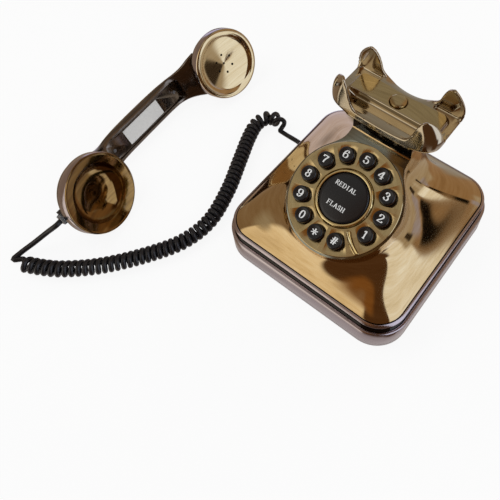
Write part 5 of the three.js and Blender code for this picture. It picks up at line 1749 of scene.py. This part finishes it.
# ------------------------------------------------------------------ the cord
@dataclass
class CurlyCord:
    """One strand from the handset's plug, through its curls, to the plug in the base."""

    radius: float = 2.15
    coil: float = 4.7
    pitch: float = 4.7
    loose: float = 5.5
    loose_length: float = 110.0
    gap: float = 0.3
    ramp: float = 4.0
    start: float = -80.0  # where the strand is in its first curl, in degrees
    end: float = -100.0
    per_turn: int = 24
    route: tuple[Point2, ...] = (
        (-190, -191.4), (-175.6, -184.2), (-163.4, -176.7), (-140.2, -155.8), (-116.3, -124.4),
        (-102.6, -98.9), (-99, -73.6), (-107.1, -41.1), (-119.7, -11.2), (-130.6, 15), (-134, 29),
        (-131, 39.5), (-122.5, 43.6), (-115.5, 40)
    )
    hand_lead: tuple[Point3, ...] = (
        (-189, -163, 19), (-196, -174.5, 10.5), (-201.5, -186, 4.6), (-202.5, -193.5, 2.9)
    )
    base_lead: tuple[Point3, ...] = ((-111, 37.4, 3.6), (-101, 35, 7.6), (-92.5, 33.2, 11))
    plug_in_handset: Point3 = (-118.1, 0.0, -16.5)
    plug_in_base: Point3 = (-82.9, 32.5, 12.0)

    @property
    def height(self) -> float:
        """Height of the coil's centre line."""
        return self.coil + self.radius + 0.35

    def curls(self) -> list[Vector]:
        """Centre points of the curls: a helix that starts and ends along its route."""
        route = Path([Vector((x, y, self.height)) for x, y in self.route])
        length, cells = route.length, 1200
        closest = 2 * self.radius + self.gap
        places = [route.at_length(i / cells) for i in range(cells + 1)]
        ways = [route.tangent(min(max(i / cells, 0.0002), 0.9998)) for i in range(cells + 1)]
        turns = [0.0]
        for i in range(1, cells + 1):
            bend = ways[max(i - 6, 0)].angle(ways[min(i + 6, cells)]) * cells / (12 * length)
            place = (i - 0.5) * length / cells
            opened = lerp(self.loose, self.pitch, smoothstep(place, 0, self.loose_length))
            pitch = max(opened, closest / (1 - min(bend * self.coil, 0.4)))
            from_end = min(i, cells - i) * length / cells
            rate = smoothstep(from_end, -self.ramp / 4, self.ramp)
            turns.append(turns[-1] + rate * length / cells / pitch)
        finish = math.floor(turns[-1]) + (self.end - self.start) / 360 % 1
        turns = [t * finish / turns[-1] for t in turns]
        total = round(finish * self.per_turn)
        made, cell, up = [], 0, Vector((0, 0, 1))
        for i in range(total + 1):
            turn = turns[-1] * i / total
            while cell < cells - 1 and turns[cell + 1] < turn:
                cell += 1
            share = (turn - turns[cell]) / (turns[cell + 1] - turns[cell])
            here = places[cell].lerp(places[cell + 1], share)
            side = ways[cell].lerp(ways[cell + 1], share).cross(up).normalized()
            angle = math.tau * turn + math.radians(self.start)
            made.append(
                here + side * self.coil * math.cos(angle) + up * self.coil * math.sin(angle)
            )
        return made

    def centre_line(self) -> list[Vector]:
        """The whole strand's centre points, in the telephone's frame."""
        curls = self.curls()
        hand = Handset().place
        first = (curls[3] - curls[0]).normalized()
        first.z = 0
        first.normalize()
        leave = -Vector(hand.col[0][:3])
        start = hand @ Vector(self.plug_in_handset) + leave * 0.3
        lead_in = [
            start, start + leave * 4, *(Vector(p) for p in self.hand_lead), curls[0] - first * 7.6,
            curls[0] - first * 3.8, curls[0]
        ]
        plug = Vector(self.plug_in_base)
        off = (curls[-1] - curls[-2]).normalized()
        lead_out = [
            curls[-1], curls[-1] + Vector((off.x, off.y, 0)) * 2.5,
            *(Vector(p) for p in self.base_lead), plug - Vector((4.3, 0, 0)),
            plug - Vector((0.3, 0, 0))
        ]
        before, after = Path(lead_in, 400), Path(lead_out, 400)
        entry = [before.at_length(i / 60) for i in range(60)]
        return entry + curls + [after.at_length(i / 50) for i in range(1, 51)]

    def build(self, finishes: Finishes) -> None:
        points = [SHOP.row_point(p) for p in self.centre_line()]
        curve = bpy.data.curves.new("curly_strand", "CURVE")
        curve.dimensions = "3D"
        spline = curve.splines.new("POLY")
        spline.points.add(len(points) - 1)
        for knot, point in zip(spline.points, points):
            knot.co = (*point, 1)
        curve.bevel_depth = self.radius * MM
        curve.bevel_resolution = 3
        curve.use_fill_caps = True
        cord = show("curly_strand", curve)
        dress(cord, finishes.cord, "base", Slot.CORD, "handset_lead", "curly_cord", "body_lead")
        length = sum((b - a).length for a, b in zip(points, points[1:]))
        LOG.info("cord length %.3f m", length)
        tuple(points[0])


# ------------------------------------------------------------------ nodes kept as they are
def paint_kept_nodes(finishes: Finishes) -> None:
    """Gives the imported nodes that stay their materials."""
    screws = ("case_screw_", "board_screw_", "cradle_screw_", "cover_screw_")
    kept = (
        (finishes.rubber, ("foot_",)),
        (finishes.steel, (*screws, "ballast_plate", "handset_weight")),
        (finishes.silicone, ("key_mat",)), (finishes.board, ("keypad_board", "main_board")),
        (finishes.black, ("hook_switch", "ringer", "body_jack", "line_jack", "handset_jack")),
        (finishes.aluminium, ("microphone", "receiver")),
        (finishes.clear, ("handset_plug", "body_plug"))
    )
    for name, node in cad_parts.items():
        for finish, starts in kept:
            if name.startswith(starts):
                node.data.materials.clear()
                node.data.materials.append(finish)


# ------------------------------------------------------------------ studio
@dataclass(frozen=True)
class Softbox:
    """An area lamp aimed at a point, in the telephone's frame."""

    name: str
    at: Point3
    to: Point3
    size: Point2
    strength: float  # radiance of its face; 1 is white
    colour: str = "FFFFFF"

    def build(self) -> None:
        """Adds the lamp."""
        lamp = bpy.data.lights.new(self.name, "AREA")
        lamp.shape = "RECTANGLE"
        lamp.size, lamp.size_y = (s * MM for s in self.size)
        lamp.color = srgb(self.colour)[:3]
        lamp.energy = self.strength * math.pi * lamp.size * lamp.size_y
        holder = show(self.name, lamp)
        at, to = SHOP.row_point(self.at), SHOP.row_point(self.to)
        turn = (to - at).to_track_quat("-Z", "Y").to_matrix().to_4x4()
        holder.matrix_world = Matrix.Translation(at) @ turn
        holder.visible_glossy = False  # gloss sees the cards instead


@dataclass(frozen=True)
class Card:
    """A lit or dark card that gloss sees round the telephone, its place and reach in degrees."""

    name: str
    turn: float  # to the right of the front
    height: float  # above the table
    half: Point2  # half its width and its height
    soft: float  # over which its edges fade
    colour: str
    level: float = 1.0
    lean: float = 0.0  # degrees it moves to the right for each degree up


@dataclass
class Studio:
    """Floor, sky, lamps and camera."""

    camera_at: Point3 = (128.191, -223.983, 456.830)
    right: Point3 = (0.79492841, 0.60668483, -0.00472566)
    up: Point3 = (-0.49963189, 0.65903777, 0.56217185)
    forward: Point3 = (-0.34417552, 0.44452528, -0.82700694)
    lens: float = 45.017
    shift: Point2 = (-0.12923, -0.15465)
    floor_size: float = 24.0  # metres
    floor_drop: float = 0.0002  # metres under the feet
    floor_glow: float = 0.9  # how much of the floor's white to the camera is its own
    fill: float = 0.45  # the world's level on the object
    lamps: tuple[Softbox, ...] = (
        Softbox("key_box", (-500, -250, 700), (0, 0, 50), (500, 400), 3.0),
        Softbox("fill_box", (600, -300, 500), (0, 0, 50), (400, 400), 2.0),
        Softbox("back_box", (100, 700, 450), (0, 0, 50), (700, 300), 2.0)
    )
    room: str = "5A3F2A"
    cards: tuple[Card, ...] = (
        Card("table", 0, -76, (180, 26), 8, "BDB4B2"),
        Card("left_wall", -85, 15, (40, 76), 12, "94806C"),
        Card("left_ceiling", -48, 68, (42, 16), 8, "B3ADA5"),
        Card("back_wall", 204, 12, (26, 60), 8, "A09A92"),
        Card("right_back_wall", 152, 12, (32, 52), 8, "AA8F74"),
        Card("front_box", -26, 2, (20, 53), 3.5, "FFF6E8", 1.12, -0.1),
        Card("front_lintel", -4, 68, (22, 19), 12, "8E6236"),
        Card("right_box", 96.7, 18, (24.5, 60), 0.8, "E6EEFF", 1.45),
        Card("right_box_shade", 70, -20, (11, 34), 4, "5A3F2A"),
        Card("right_box_foot", 80, -42, (12, 14), 5, "5A3F2A"),
        Card("right_window", 131, -14, (19, 27), 4, "BDB3A8"),
        Card("right_slit", 132, 9, (5, 9), 3, "B0AECB"),
        Card("left_window", -131, -8, (17, 14), 4, "D2CCE4", 1.1),
        Card("left_flag", -117, 18, (4, 13), 3, "0C0A08"),
        Card("right_flag", 127.5, 26, (4.2, 5.5), 1.5, "100C0A"),
        Card("right_post", 124, -3, (3.5, 9), 1.5, "3A3028")
    )

    def build(self) -> None:
        """Builds the studio round the telephone."""
        self.build_floor()
        self.build_sky()
        for lamp in self.lamps:
            lamp.build()
        self.build_camera()

    def build_camera(self) -> None:
        """The camera that looks down on the telephone from the front right."""
        data = bpy.data.cameras.new("camera")
        data.lens = self.lens
        data.sensor_width = 36
        data.shift_x, data.shift_y = self.shift
        data.clip_start, data.clip_end = 0.01, 50
        camera = show("camera", data)
        back = -Vector(self.forward)
        turn = Matrix((Vector(self.right), Vector(self.up), back)).transposed().to_4x4()
        camera.matrix_world = Matrix.Translation(SHOP.row_point(self.camera_at)) @ turn
        bpy.context.scene.camera = camera

    def build_floor(self) -> None:
        """A white table top that keeps the shadow, and that gloss looks through to the cards."""
        bpy.ops.object.select_all(action="DESELECT")
        bpy.ops.mesh.primitive_plane_add(size=self.floor_size, location=(0, 0, -self.floor_drop))
        floor = SHOP.started("table_top")
        material, tree, shader = new_material("white_table")
        wire(tree, shader, {"Base Color": srgb("F4F4F4"), "Roughness": 0.9})
        glow = add(tree, "ShaderNodeEmission", {"Color": (1, 1, 1, 1), "Strength": 1.0})
        rays = add(tree, "ShaderNodeLightPath")
        seen = add(
            tree, "ShaderNodeMath", {1: self.floor_glow}, {0: rays.outputs["Is Camera Ray"]},
            operation="MULTIPLY"
        )
        mix = add(
            tree, "ShaderNodeMixShader",
            links={"Fac": seen.outputs[0], 1: shader.outputs["BSDF"], 2: glow.outputs["Emission"]}
        )
        gone = add(tree, "ShaderNodeBsdfTransparent")
        through = add(
            tree, "ShaderNodeMixShader",
            links={
                "Fac": rays.outputs["Is Glossy Ray"], 1: mix.outputs["Shader"],
                2: gone.outputs["BSDF"]
            }
        )
        out = next(n for n in tree.nodes if n.type == "OUTPUT_MATERIAL")
        wire(tree, out, links={"Surface": through.outputs["Shader"]})
        floor.data.materials.append(material)

    def paint_card(
        self, tree: Tree, turn: Socket, height: Socket, under: Socket, card: Card
    ) -> Socket:
        """Lays a card over what gloss sees so far.

        Args:
            tree: the world's node tree.
            turn: degrees to the right of the front.
            height: degrees above the table.
            under: the colour so far.
            card: the card.

        Returns:
            The colour with the card in it.
        """
        rise = add(tree, "ShaderNodeMath", {1: card.height}, {0: height}, operation="SUBTRACT")
        lean = add(
            tree, "ShaderNodeMath", {1: card.lean}, {0: rise.outputs[0]}, operation="MULTIPLY"
        )
        upright = add(
            tree, "ShaderNodeMath", links={0: turn, 1: lean.outputs[0]}, operation="SUBTRACT"
        )
        turn = upright.outputs[0]
        masks = []
        for angle, place, half in (
            (turn, card.turn, card.half[0]), (height, card.height, card.half[1])
        ):
            off = add(tree, "ShaderNodeMath", {1: place}, {0: angle}, operation="SUBTRACT")
            round_off = add(
                tree, "ShaderNodeMath", {1: 180.0, 2: -180.0}, {0: off.outputs[0]}, operation="WRAP"
            )
            size = add(
                tree, "ShaderNodeMath", links={0: round_off.outputs[0]}, operation="ABSOLUTE"
            )
            mask = add(
                tree, "ShaderNodeMapRange",
                {
                    "From Min": half - card.soft, "From Max": half + card.soft, "To Min": 1,
                    "To Max": 0
                },
                {"Value": size.outputs[0]}, interpolation_type="SMOOTHSTEP"
            )
            masks.append(mask.outputs["Result"])
        both = add(tree, "ShaderNodeMath", links={0: masks[0], 1: masks[1]}, operation="MULTIPLY")
        light = [card.level * c for c in srgb(card.colour)[:3]]
        laid = add(
            tree, "ShaderNodeMix", {"B": (*light, 1)}, {"Factor": both.outputs[0], "A": under},
            data_type="RGBA", clamp_result=False
        )
        return laid.outputs["Result"]

    def build_sky(self) -> None:
        """White to the camera, a plain pale level on the object, and a room of cards to gloss."""
        world = bpy.data.worlds.new("studio")
        bpy.context.scene.world = world
        world.use_nodes = True
        tree = world.node_tree
        tree.nodes.clear()
        rays = add(tree, "ShaderNodeLightPath")
        way = add(tree, "ShaderNodeTexCoord")
        parts = add(tree, "ShaderNodeSeparateXYZ", links={"Vector": way.outputs["Generated"]})
        front = add(
            tree, "ShaderNodeMath", {1: -1.0}, {0: parts.outputs["Y"]}, operation="MULTIPLY"
        )
        round_way = add(
            tree, "ShaderNodeMath", links={0: parts.outputs["X"], 1: front.outputs[0]},
            operation="ARCTAN2"
        )
        up_way = add(tree, "ShaderNodeMath", links={0: parts.outputs["Z"]}, operation="ARCSINE")
        turn, height = (
            add(tree, "ShaderNodeMath", links={0: w.outputs[0]}, operation="DEGREES").outputs[0]
            for w in (round_way, up_way)
        )
        colour = add(tree, "ShaderNodeRGB")
        colour.outputs[0].default_value = srgb(self.room)
        room = colour.outputs[0]
        for card in self.cards:
            room = self.paint_card(tree, turn, height, room, card)
        seen = add(tree, "ShaderNodeBackground", {"Color": (1, 1, 1, 1), "Strength": 1.0})
        fill = add(tree, "ShaderNodeBackground", {"Color": (1, 1, 1, 1), "Strength": self.fill})
        cards = add(tree, "ShaderNodeBackground", {"Strength": 1.0}, {"Color": room})
        gloss = add(
            tree, "ShaderNodeMixShader",
            links={
                "Fac": rays.outputs["Is Glossy Ray"], 1: fill.outputs["Background"],
                2: cards.outputs["Background"]
            }
        )
        both = add(
            tree, "ShaderNodeMixShader",
            links={
                "Fac": rays.outputs["Is Camera Ray"], 1: gloss.outputs["Shader"],
                2: seen.outputs["Background"]
            }
        )
        add(tree, "ShaderNodeOutputWorld", links={"Surface": both.outputs["Shader"]})


def main() -> None:
    """Builds the studio, then each sub-assembly in order."""
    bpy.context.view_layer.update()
    Studio().build()
    bpy.context.scene.view_settings.view_transform = "Standard"
    finishes = Finishes()
    CurlyCord().build(finishes)
    paint_kept_nodes(finishes)
    for assembly in (LowerCase(), SweptBody(), Dial(), Cradle(), Handset()):
        assembly.build(finishes)
        LOG.info("%s is built", type(assembly).__name__)


if __name__ == "__main__":
    main()
